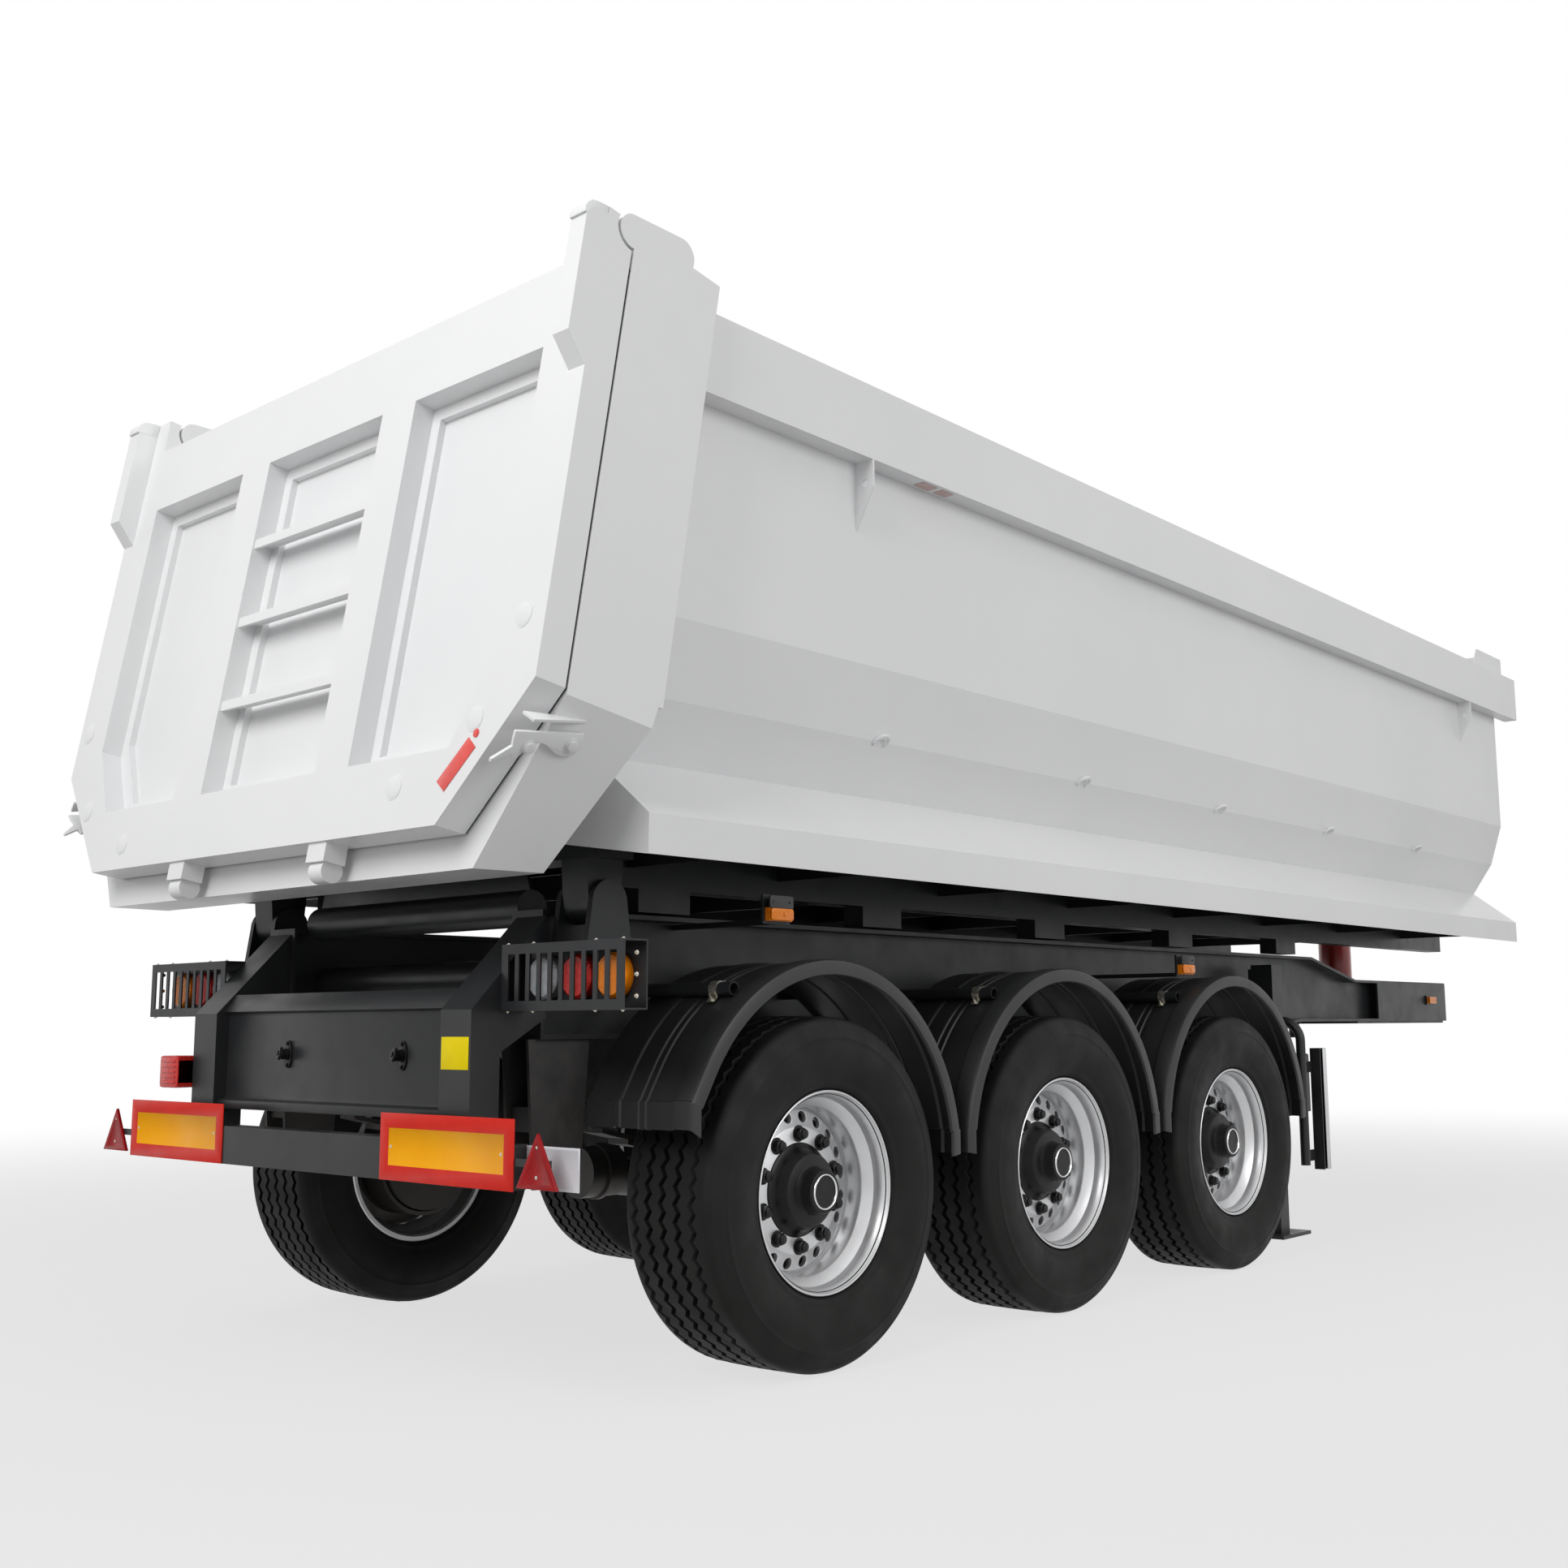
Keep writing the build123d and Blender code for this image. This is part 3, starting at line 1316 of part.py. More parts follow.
def wheel():
    half = rim_width / 2 - rim_wall
    seat = bead_radius - part_gap
    bed = rim_well_radius + rim_wall
    profile = [
        (half, rim_flange_radius),
        (half, seat),
        (100, seat - 3),
        (78, bed),
        (-60, bed),
        (-85, seat - 3),
        (-half, seat),
        (-half, rim_flange_radius),
    ]
    rim = turned(band(profile, -rim_wall), 0)
    disc = [
        (disc_y - 52, rim_well_radius),
        (disc_y - 34, rim_well_radius),
        (disc_y, 196),
        (disc_y, 60),
        (disc_y - disc_thickness, 60),
        (disc_y - disc_thickness, 190),
    ]
    drum = [
        (disc_y - disc_thickness, drum_radius),
        (-drum_length, drum_radius),
        (-drum_length, drum_radius - drum_wall),
        (disc_y - disc_thickness - drum_wall, drum_radius - drum_wall),
        (disc_y - disc_thickness - drum_wall, 60),
        (disc_y - disc_thickness, 60),
    ]
    bore = spindle_radius + shaft_clearance
    bore_end = hub_length - hub_bore_margin + part_gap
    hub = [
        (-drum_length + 40, bore),
        (-drum_length + 40, 90),
        (disc_y, 90),
        (disc_y, hub_flange_radius),
        (disc_y + 30, hub_flange_radius),
        (hub_length - 14, hub_flange_radius - 40),
        (hub_length, hub_cap_radius),
        (hub_length + hub_cap_length, hub_cap_radius),
        (hub_length + hub_cap_length, 0),
        (bore_end, 0),
        (bore_end, bore),
    ]
    solid = rim + turned(disc, 0) + turned(drum, 0) + turned(hub, 0)
    nut = Pos(0, disc_y + nut_height, 0) * Rot(90, 0, 0) * extrude(RegularPolygon(nut_radius, 6), amount=nut_height)
    for number in range(nut_count):
        angle = math.radians(360 / nut_count * (number + 0.5))
        solid += Pos(nut_circle_radius * math.cos(angle), 0, nut_circle_radius * math.sin(angle)) * nut
    return solid


tyre_solid = tyre()
wheel_solid = wheel()
for number, x in enumerate(axle_x):
    for side_name, flip in (("left", False), ("right", True)):
        for name, solid in (("tyre", tyre_solid), ("wheel", wheel_solid)):
            placed = Pos(x, wheel_y, axle_z) * solid
            placed = mirror(placed, about=Plane.XZ) if flip else placed
            save(f"{name}_{number + 1}_{side_name}", placed)
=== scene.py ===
import math
import bmesh
import bpy
from mathutils import Matrix, Vector


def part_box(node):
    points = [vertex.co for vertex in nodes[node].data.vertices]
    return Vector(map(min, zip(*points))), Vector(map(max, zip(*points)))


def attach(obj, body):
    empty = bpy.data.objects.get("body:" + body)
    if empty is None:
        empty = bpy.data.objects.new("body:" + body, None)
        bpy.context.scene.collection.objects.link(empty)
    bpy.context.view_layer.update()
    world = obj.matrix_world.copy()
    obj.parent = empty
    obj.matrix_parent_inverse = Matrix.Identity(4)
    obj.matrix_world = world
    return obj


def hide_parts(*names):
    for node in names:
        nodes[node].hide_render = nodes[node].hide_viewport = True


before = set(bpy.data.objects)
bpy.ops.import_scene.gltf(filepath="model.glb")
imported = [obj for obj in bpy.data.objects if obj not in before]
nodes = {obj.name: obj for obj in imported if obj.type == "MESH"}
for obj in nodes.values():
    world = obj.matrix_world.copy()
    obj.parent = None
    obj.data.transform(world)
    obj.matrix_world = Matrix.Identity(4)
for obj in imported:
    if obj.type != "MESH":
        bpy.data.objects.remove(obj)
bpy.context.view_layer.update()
print("frame loaded:", len(nodes), "nodes")


# Finishes
def addNoise(tree, place, scale, detail):
    noise = tree.nodes.new("ShaderNodeTexNoise")
    noise.inputs["Scale"].default_value = scale
    noise.inputs["Detail"].default_value = detail
    tree.links.new(place.outputs["Object"], noise.inputs["Vector"])
    return noise


def addRange(tree, source, span, reach):
    # maps the span of the source onto the reach
    mapped = tree.nodes.new("ShaderNodeMapRange")
    for name, value in zip(("From Min", "From Max", "To Min", "To Max"), (*span, *reach)):
        mapped.inputs[name].default_value = value
    tree.links.new(source, mapped.inputs["Value"])
    return mapped


def addMath(tree, operation, first, second):
    node = tree.nodes.new("ShaderNodeMath")
    node.operation = operation
    tree.links.new(first, node.inputs[0])
    tree.links.new(second, node.inputs[1])
    return node.outputs["Value"]


def addColour(tree, share, colour):
    # mixes the colour in by the share, over what goes into input 6
    node = tree.nodes.new("ShaderNodeMix")
    node.data_type = "RGBA"
    node.inputs[7].default_value = (*colour, 1.0)
    tree.links.new(share, node.inputs[0])
    return node


def makeFinish(name, look):
    # painted, moulded and metal finishes: patchy tone, fine grain, uneven gloss, dust that settles low
    material = bpy.data.materials.new(name)
    material.use_nodes = True
    tree = material.node_tree
    shader = tree.nodes["Principled BSDF"]
    place = tree.nodes.new("ShaderNodeTexCoord")

    tone = addNoise(tree, place, look["toneScale"], 6.0)
    tone.inputs["Roughness"].default_value = 0.62
    toneRange = addRange(tree, tone.outputs["Fac"], (0.32, 0.68), (0.0, 1.0))
    colour = addColour(tree, toneRange.outputs["Result"], look["tone"])
    colour.inputs[6].default_value = (*look["colour"], 1.0)

    if "dust" in look:
        # dust thickest near the ground, broken up by a second noise
        height = tree.nodes.new("ShaderNodeSeparateXYZ")
        tree.links.new(place.outputs["Object"], height.inputs["Vector"])
        span = (look["dustTop"], look["dustTop"] * 0.25)
        fade = addRange(tree, height.outputs["Z"], span, (0.0, look["dustAmount"]))
        spots = addNoise(tree, place, look.get("dustScale", 9.0), 8.0)
        amount = addMath(tree, "MULTIPLY", fade.outputs["Result"], spots.outputs["Fac"])
        dusty = addColour(tree, amount, look["dust"])
        tree.links.new(colour.outputs[2], dusty.inputs[6])
        colour = dusty
    tree.links.new(colour.outputs[2], shader.inputs["Base Color"])

    gloss = addNoise(tree, place, look["glossScale"], 5.0)
    glossRange = addRange(tree, gloss.outputs["Fac"], (0.3, 0.7), look["rough"])
    tree.links.new(glossRange.outputs["Result"], shader.inputs["Roughness"])

    if look.get("grainKind") == "cells":
        grain = tree.nodes.new("ShaderNodeTexVoronoi")
        grain.inputs["Scale"].default_value = look["grainScale"]
        tree.links.new(place.outputs["Object"], grain.inputs["Vector"])
        grainHeight = grain.outputs["Distance"]
    else:
        grainHeight = addNoise(tree, place, look["grainScale"], 3.0).outputs["Fac"]
    bump = tree.nodes.new("ShaderNodeBump")
    bump.inputs["Strength"].default_value = look["grainStrength"]
    bump.inputs["Distance"].default_value = look["grainDepth"]
    tree.links.new(grainHeight, bump.inputs["Height"])
    tree.links.new(bump.outputs["Normal"], shader.inputs["Normal"])

    shader.inputs["Metallic"].default_value = look.get("metal", 0.0)
    shader.inputs["Coat Weight"].default_value = look.get("coat", 0.0)
    shader.inputs["Coat Roughness"].default_value = look.get("coatRough", 0.12)
    shader.inputs["Specular IOR Level"].default_value = look.get("shine", 0.5)
    return material


# what the marker boards' two foils share, and what the three lenses share
foilLook = {
    "rough": (0.3, 0.42), "glossScale": 20.0, "grainKind": "cells",
    "grainScale": 330.0, "grainStrength": 0.15, "grainDepth": 0.0005,
}
lensLook = {
    "toneScale": 40.0, "glossScale": 30.0, "shine": 0.25, "coat": 0.15, "coatRough": 0.05,
    "grainKind": "cells", "grainScale": 150.0, "grainStrength": 0.5, "grainDepth": 0.002,
}
looks = {
    "bodyWhite": {
        "colour": (0.83, 0.832, 0.835), "tone": (0.79, 0.794, 0.802), "toneScale": 0.8, "shine": 0.35,
        "rough": (0.3, 0.4), "glossScale": 6.0, "coat": 0.1, "coatRough": 0.15,
        "grainScale": 140.0, "grainStrength": 0.04, "grainDepth": 0.0005,
        "dust": (0.56, 0.54, 0.50), "dustTop": 2.2, "dustAmount": 0.10,
    },
    "chassisBlack": {
        "colour": (0.012, 0.013, 0.0145), "tone": (0.019, 0.020, 0.022), "toneScale": 2.6, "shine": 0.3,
        "rough": (0.32, 0.46), "glossScale": 8.0, "coat": 0.05, "coatRough": 0.2,
        "grainScale": 220.0, "grainStrength": 0.12, "grainDepth": 0.0006,
        "dust": (0.06, 0.055, 0.047), "dustTop": 1.3, "dustAmount": 0.3,
    },
    "guardBlack": {
        "colour": (0.014, 0.0145, 0.0155), "tone": (0.021, 0.0215, 0.023), "toneScale": 3.4, "shine": 0.4,
        "rough": (0.36, 0.52), "glossScale": 5.0,
        "grainScale": 420.0, "grainStrength": 0.2, "grainDepth": 0.0005,
        "dust": (0.045, 0.041, 0.036), "dustTop": 1.2, "dustAmount": 0.35,
    },
    "steelDark": {
        "colour": (0.022, 0.022, 0.024), "tone": (0.040, 0.038, 0.037), "toneScale": 7.0,
        "rough": (0.42, 0.62), "glossScale": 14.0, "metal": 0.25,
        "grainScale": 120.0, "grainStrength": 0.3, "grainDepth": 0.001,
        "dust": (0.12, 0.10, 0.08), "dustTop": 1.1, "dustAmount": 0.5,
    },
    "tyreRubber": {
        "colour": (0.0052, 0.0052, 0.0056), "tone": (0.0092, 0.0092, 0.0094), "toneScale": 5.0,
        "rough": (0.5, 0.72), "glossScale": 10.0, "shine": 0.18,
        "grainScale": 260.0, "grainStrength": 0.25, "grainDepth": 0.0008,
        "dust": (0.036, 0.031, 0.025), "dustTop": 1.4, "dustAmount": 0.22, "dustScale": 14.0,
    },
    "wheelSilver": {
        "colour": (0.66, 0.665, 0.68), "tone": (0.74, 0.745, 0.755), "toneScale": 6.0,
        "rough": (0.32, 0.44), "glossScale": 18.0, "metal": 0.75,
        "grainScale": 500.0, "grainStrength": 0.08, "grainDepth": 0.0004,
        "dust": (0.22, 0.20, 0.17), "dustTop": 1.0, "dustAmount": 0.25,
    },
    "hubBlack": {
        "colour": (0.006, 0.006, 0.0065), "tone": (0.011, 0.011, 0.0115), "toneScale": 14.0, "shine": 0.25,
        "rough": (0.3, 0.46), "glossScale": 20.0,
        "grainScale": 180.0, "grainStrength": 0.25, "grainDepth": 0.0008,
    },
    "trimChrome": {
        "colour": (0.78, 0.78, 0.79), "tone": (0.70, 0.705, 0.71), "toneScale": 30.0,
        "rough": (0.08, 0.18), "glossScale": 40.0, "metal": 1.0,
        "grainScale": 300.0, "grainStrength": 0.03, "grainDepth": 0.0003,
    },
    "boardRed": {
        **foilLook, "colour": (0.62, 0.020, 0.012), "tone": (0.70, 0.028, 0.016),
        "toneScale": 9.0, "shine": 0.15,
    },
    "boardYellow": {
        **foilLook, "colour": (0.93, 0.38, 0.004), "tone": (0.96, 0.43, 0.006),
        "toneScale": 7.0, "shine": 0.12,
    },
    "triangleRed": {
        "colour": (0.26, 0.002, 0.004), "tone": (0.36, 0.003, 0.005), "toneScale": 22.0, "shine": 0.2,
        "rough": (0.2, 0.34), "glossScale": 25.0, "grainKind": "cells",
        "grainScale": 240.0, "grainStrength": 0.35, "grainDepth": 0.001,
    },
    "plateWhite": {
        "colour": (0.76, 0.77, 0.80), "tone": (0.70, 0.72, 0.76), "toneScale": 5.0,
        "rough": (0.22, 0.34), "glossScale": 12.0, "coat": 0.2,
        "grainScale": 200.0, "grainStrength": 0.05, "grainDepth": 0.0003,
    },
    "stickerYellow": {
        "colour": (0.88, 0.70, 0.004), "tone": (0.83, 0.65, 0.005), "toneScale": 16.0, "shine": 0.12,
        "rough": (0.4, 0.55), "glossScale": 22.0,
        "grainScale": 300.0, "grainStrength": 0.08, "grainDepth": 0.0003,
    },
    "lensClear": {
        **lensLook, "colour": (0.52, 0.54, 0.56), "tone": (0.36, 0.38, 0.40), "rough": (0.05, 0.12),
    },
    "lensRed": {
        **lensLook, "colour": (0.52, 0.012, 0.012), "tone": (0.66, 0.03, 0.02), "rough": (0.06, 0.14),
    },
    "lensAmber": {
        **lensLook, "colour": (0.84, 0.20, 0.002), "tone": (0.92, 0.27, 0.004), "rough": (0.06, 0.14),
    },
    "hoistRed": {
        "colour": (0.52, 0.022, 0.014), "tone": (0.44, 0.018, 0.012), "toneScale": 4.0,
        "rough": (0.25, 0.38), "glossScale": 9.0, "coat": 0.3,
        "grainScale": 160.0, "grainStrength": 0.1, "grainDepth": 0.0005,
        "dust": (0.20, 0.14, 0.11), "dustTop": 1.9, "dustAmount": 0.2,
    },
    "zincSteel": {
        "colour": (0.50, 0.47, 0.38), "tone": (0.62, 0.60, 0.55), "toneScale": 40.0,
        "rough": (0.22, 0.4), "glossScale": 60.0, "metal": 0.9,
        "grainScale": 300.0, "grainStrength": 0.1, "grainDepth": 0.0004,
    },
    "reflexRed": {
        "colour": (0.70, 0.045, 0.035), "tone": (0.80, 0.075, 0.055), "toneScale": 20.0,
        "rough": (0.2, 0.32), "glossScale": 30.0, "coat": 0.3, "grainKind": "cells",
        "grainScale": 300.0, "grainStrength": 0.25, "grainDepth": 0.0006,
    },
    "tapePink": {
        "colour": (0.58, 0.40, 0.38), "tone": (0.66, 0.52, 0.50), "toneScale": 18.0, "shine": 0.2,
        "rough": (0.4, 0.55), "glossScale": 20.0,
        "grainScale": 300.0, "grainStrength": 0.1, "grainDepth": 0.0004,
    },
    # painted highlight: pale finish of the strip that stands in for the lit side of each side guard's upright
    "guardHighlight": {
        "colour": (0.78, 0.79, 0.80), "tone": (0.70, 0.71, 0.73), "toneScale": 9.0,
        "rough": (0.3, 0.45), "glossScale": 26.0, "metal": 0.35,
        "grainScale": 350.0, "grainStrength": 0.1, "grainDepth": 0.0004,
        "dust": (0.30, 0.27, 0.23), "dustTop": 1.0, "dustAmount": 0.25,
    },
}
finishes = {name: makeFinish(name, look) for name, look in looks.items()}
print("finishes made:", len(finishes))


# Finish for every CAD node
nodeFinishes = {
    "bodyWhite": (
        "tub_side_left", "tub_side_right", "front_wall", "top_rail_left", "top_rail_right", "rear_frame",
        "skirt_left", "skirt_right", "gate_hinge_links", "rope_hooks", "gate_panel", "gate_frame",
        "hoist_ears", "gate_latches", "tub_floor",
    ),
    "chassisBlack": (
        "frame_rail_left", "frame_rail_right", "crossmembers", "coupler_plate", "tip_pivot_brackets",
        "rear_uprights", "rear_panel", "underrun_bar", "lamp_guards", "bed_runners", "bed_bearers",
        "tip_pivot_lugs", "mudguard_tubes", "air_tanks", "landing_legs", "side_guards",
    ),
    "guardBlack": ("mudguards_left", "mudguards_right"),
    "steelDark": ("axle_beams", "leaf_springs", "spring_hangers", "brake_chambers"),
    "boardRed": ("marker_boards",),
    "triangleRed": ("warning_triangles",),
    "lensClear": ("lamps_clear",),
    "lensRed": ("lamps_red",),
    "lensAmber": ("lamps_amber",),
    "hoistRed": ("hoist_tube",),
    "trimChrome": ("hoist_stage_1", "hoist_stage_2", "hoist_stage_3", "hoist_stage_4"),
}
for finishName, nodeNames in nodeFinishes.items():
    for nodeName in nodeNames:
        node = nodes[nodeName]
        node.data.materials.clear()
        node.data.materials.append(finishes[finishName])
print("CAD nodes finished")


# Modelling helpers
def clearSelection():
    if bpy.context.object and bpy.context.object.mode == "EDIT":
        bpy.ops.object.mode_set(mode="OBJECT")
    bpy.ops.object.select_all(action="DESELECT")


def pickOnly(piece):
    clearSelection()
    piece.select_set(True)
    bpy.context.view_layer.objects.active = piece


def settle(piece, name, finish, body):
    # name, finish, place held in the mesh, and the body that carries it
    pickOnly(piece)
    bpy.ops.object.transform_apply(location=True, rotation=True, scale=True)
    piece.name = name
    piece.data.name = name
    if finish:
        piece.data.materials.clear()
        piece.data.materials.append(finishes[finish])
    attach(piece, body)
    return piece


def extrudeBy(move):
    bpy.ops.mesh.extrude_region_move(TRANSFORM_OT_translate={"value": move})


def drawLine(points, closed):
    # a chain of edges, one extrude for each point; stays in edit mode
    clearSelection()
    bpy.ops.mesh.primitive_plane_add(size=0.001, location=(0.0, 0.0, 0.0))
    piece = bpy.context.object
    bpy.ops.object.mode_set(mode="EDIT")
    bpy.ops.mesh.select_all(action="SELECT")
    bpy.ops.mesh.merge(type="CENTER")
    spots = [Vector(point) for point in points]
    bpy.ops.transform.translate(value=spots[0])
    if closed:
        spots.append(spots[0])
    for before, after in zip(spots, spots[1:]):
        extrudeBy(after - before)
    bpy.ops.mesh.select_all(action="SELECT")
    bpy.ops.mesh.remove_doubles(threshold=0.00001)
    bpy.ops.mesh.select_all(action="SELECT")
    return piece


def closeMesh():
    # all faces turned outward, back in object mode
    bpy.ops.mesh.select_all(action="SELECT")
    bpy.ops.mesh.normals_make_consistent(inside=False)
    bpy.ops.object.mode_set(mode="OBJECT")


def turnProfile(outline, centre, steps):
    # draws the (y, radius) outline above the wheel's axle line and spins it once round
    piece = drawLine([(centre.x, centre.y + y, centre.z + radius) for y, radius in outline], True)
    bpy.ops.mesh.spin(steps=steps, angle=2 * math.pi, center=centre, axis=(0.0, 1.0, 0.0))
    bpy.ops.mesh.select_all(action="SELECT")
    bpy.ops.mesh.remove_doubles(threshold=0.00002)
    closeMesh()
    return piece


def smoothBy(piece, degrees):
    pickOnly(piece)
    bpy.ops.object.shade_smooth_by_angle(angle=math.radians(degrees))


def thicken(piece, sheet, offset):
    pickOnly(piece)
    wall = piece.modifiers.new("wall", "SOLIDIFY")
    wall.thickness = sheet
    wall.offset = offset
    bpy.ops.object.modifier_apply(modifier="wall")


def bevelEdges(piece, width, degrees):
    pickOnly(piece)
    ease = piece.modifiers.new("ease", "BEVEL")
    ease.width = width
    ease.segments = 2
    ease.limit_method = "ANGLE"
    ease.angle_limit = math.radians(degrees)
    bpy.ops.object.modifier_apply(modifier="ease")


def easeEdges(piece, width, degrees):
    bevelEdges(piece, width, degrees)
    smoothBy(piece, 35)


def cutPlate(points, depth, ease):
    # a flat plate: outline drawn, filled, given its depth, edges eased
    piece = drawLine(points, True)
    bpy.ops.mesh.edge_face_add()
    extrudeBy(depth)
    closeMesh()
    easeEdges(piece, ease, 30)
    return piece


def rearPlate(x, spots, thick, ease):
    # an upright plate facing back, from the (y, z) corners of its front
    return cutPlate([(x, y, z) for y, z in spots], (-thick, 0.0, 0.0), ease)


def pickFaces(piece, wanted):
    # edit mode with only the wanted faces selected
    bpy.ops.object.mode_set(mode="EDIT")
    bpy.ops.mesh.select_all(action="DESELECT")
    mesh = bmesh.from_edit_mesh(piece.data)
    for face in mesh.faces:
        face.select = wanted(face)
    bmesh.update_edit_mesh(piece.data)


def pickVertices(piece, wanted):
    # edit mode with only the wanted vertices selected
    bpy.ops.object.mode_set(mode="EDIT")
    bpy.ops.mesh.select_all(action="DESELECT")
    mesh = bmesh.from_edit_mesh(piece.data)
    for vertex in mesh.verts:
        vertex.select = wanted(vertex.co)
    mesh.select_flush_mode()
    bmesh.update_edit_mesh(piece.data)


def insetRear(piece, steps):
    # the largest face that looks back, stepped inwards; a second material goes on what is left
    pickOnly(piece)
    backward = [face for face in piece.data.polygons if face.normal.x < -0.9]
    rear = max(backward, key=lambda face: face.area).index
    pickFaces(piece, lambda face: face.index == rear)
    for thickness, depth in steps:
        bpy.ops.mesh.inset(thickness=thickness, depth=depth)
    if len(piece.data.materials) > 1:
        piece.active_material_index = 1
        bpy.ops.object.material_slot_assign()
    bpy.ops.object.mode_set(mode="OBJECT")


def rectangle(y0, y1, z0, z1):
    return ((y0, z0), (y1, z0), (y1, z1), (y0, z1))


def knob(place, axis, sides, steps):
    # a stepped round or hexagonal head: each step has a radius and its height over the last
    axis = Vector(axis).normalized()
    radius, height = steps[0]
    clearSelection()
    bpy.ops.mesh.primitive_cylinder_add(vertices=sides, radius=radius, depth=height)
    piece = bpy.context.object
    piece.rotation_euler = axis.to_track_quat("Z", "Y").to_euler()
    piece.location = Vector(place) + axis * height / 2
    bpy.ops.object.transform_apply(location=True, rotation=True, scale=True)
    pickFaces(piece, lambda face: face.normal.dot(axis) > 0.9)
    for lower, upper in zip(steps, steps[1:]):
        bpy.ops.mesh.inset(thickness=lower[0] - upper[0])
        extrudeBy(axis * upper[1])
    bpy.ops.mesh.inset(thickness=steps[-1][0] * 0.15, depth=steps[-1][0] * 0.05)
    bpy.ops.object.mode_set(mode="OBJECT")
    smoothBy(piece, 35)
    return piece


def joinPieces(parts):
    clearSelection()
    for part in parts:
        part.select_set(True)
    bpy.context.view_layer.objects.active = parts[0]
    bpy.ops.object.join()
    return bpy.context.object


def ownCopy(piece, place):
    # a copy with its own mesh, moved by the matrix
    copy = piece.copy()
    copy.data = piece.data.copy()
    bpy.context.scene.collection.objects.link(copy)
    copy.data.transform(place)
    return copy


def mirrorSide(piece):
    # the same piece for the other side, its faces turned out again
    other = ownCopy(piece, Matrix.Scale(-1.0, 4, (0.0, 1.0, 0.0)))
    other.data.flip_normals()
    return other


def halfTurn(about):
    return Matrix.Translation(about) @ Matrix.Rotation(math.pi, 4, "Z") @ Matrix.Translation(-about)


# Tyres
tyreLook = {
    "steps": 132,
    "crownRadius": 0.5248,
    "shoulderRadius": 0.5215,
    "grooves": (-0.116, -0.058, 0.0, 0.058, 0.116),
    "grooveHalf": 0.0092,
    "grooveFloorHalf": 0.0062,
    "grooveDepth": 0.018,
    "zigzag": 0.017,
    # y, radius of the outer wall from the bead to the shoulder
    "wall": (
        (0.1490, 0.2885), (0.1495, 0.3040), (0.1570, 0.3085), (0.1655, 0.3165), (0.1675, 0.3225),
        (0.1680, 0.3300), (0.1735, 0.3400), (0.1800, 0.3580), (0.1862, 0.3800), (0.1900, 0.4020),
        (0.1915, 0.4220), (0.1905, 0.4400), (0.1880, 0.4560), (0.1888, 0.4590), (0.1862, 0.4625),
        (0.1830, 0.4760), (0.1778, 0.4890), (0.1735, 0.4975), (0.1722, 0.5045), (0.1660, 0.5130),
        (0.1580, 0.5190),
    ),
}


def tyreOutline(look):
    top = []
    for groove in look["grooves"]:
        crown = look["crownRadius"] - (look["crownRadius"] - look["shoulderRadius"]) * (groove / 0.15) ** 2
        floor = crown - look["grooveDepth"]
        half, floorHalf = look["grooveHalf"], look["grooveFloorHalf"]
        top += [(groove - half, crown), (groove - floorHalf, floor)]
        top += [(groove + floorHalf, floor), (groove + half, crown)]
    edge = look["shoulderRadius"]
    outer = [(-y, radius) for y, radius in look["wall"]]
    inner = [(y, radius) for y, radius in reversed(look["wall"])]
    return outer + [(-0.148, edge)] + top + [(0.148, edge)] + inner


def buildTyre():
    low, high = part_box("tyre_1_right")
    centre = (low + high) / 2
    look = tyreLook
    tyre = turnProfile(tyreOutline(look), centre, look["steps"])
    pickOnly(tyre)
    stepAngle = 2 * math.pi / look["steps"]

    def inZigzag(place):
        # every second ring of the tread between the shoulders
        spot = place - centre
        number = round(math.atan2(spot.x, spot.z) / stepAngle)
        return math.hypot(spot.x, spot.z) > 0.505 and abs(spot.y) < 0.14 and number % 2 == 1

    pickVertices(tyre, inZigzag)
    bpy.ops.transform.translate(value=(0.0, look["zigzag"], 0.0))
    bpy.ops.object.mode_set(mode="OBJECT")
    smoothBy(tyre, 32)
    return tyre, centre


tyre, tyreCentre = buildTyre()
print("tyre turned:", len(tyre.data.polygons), "faces")


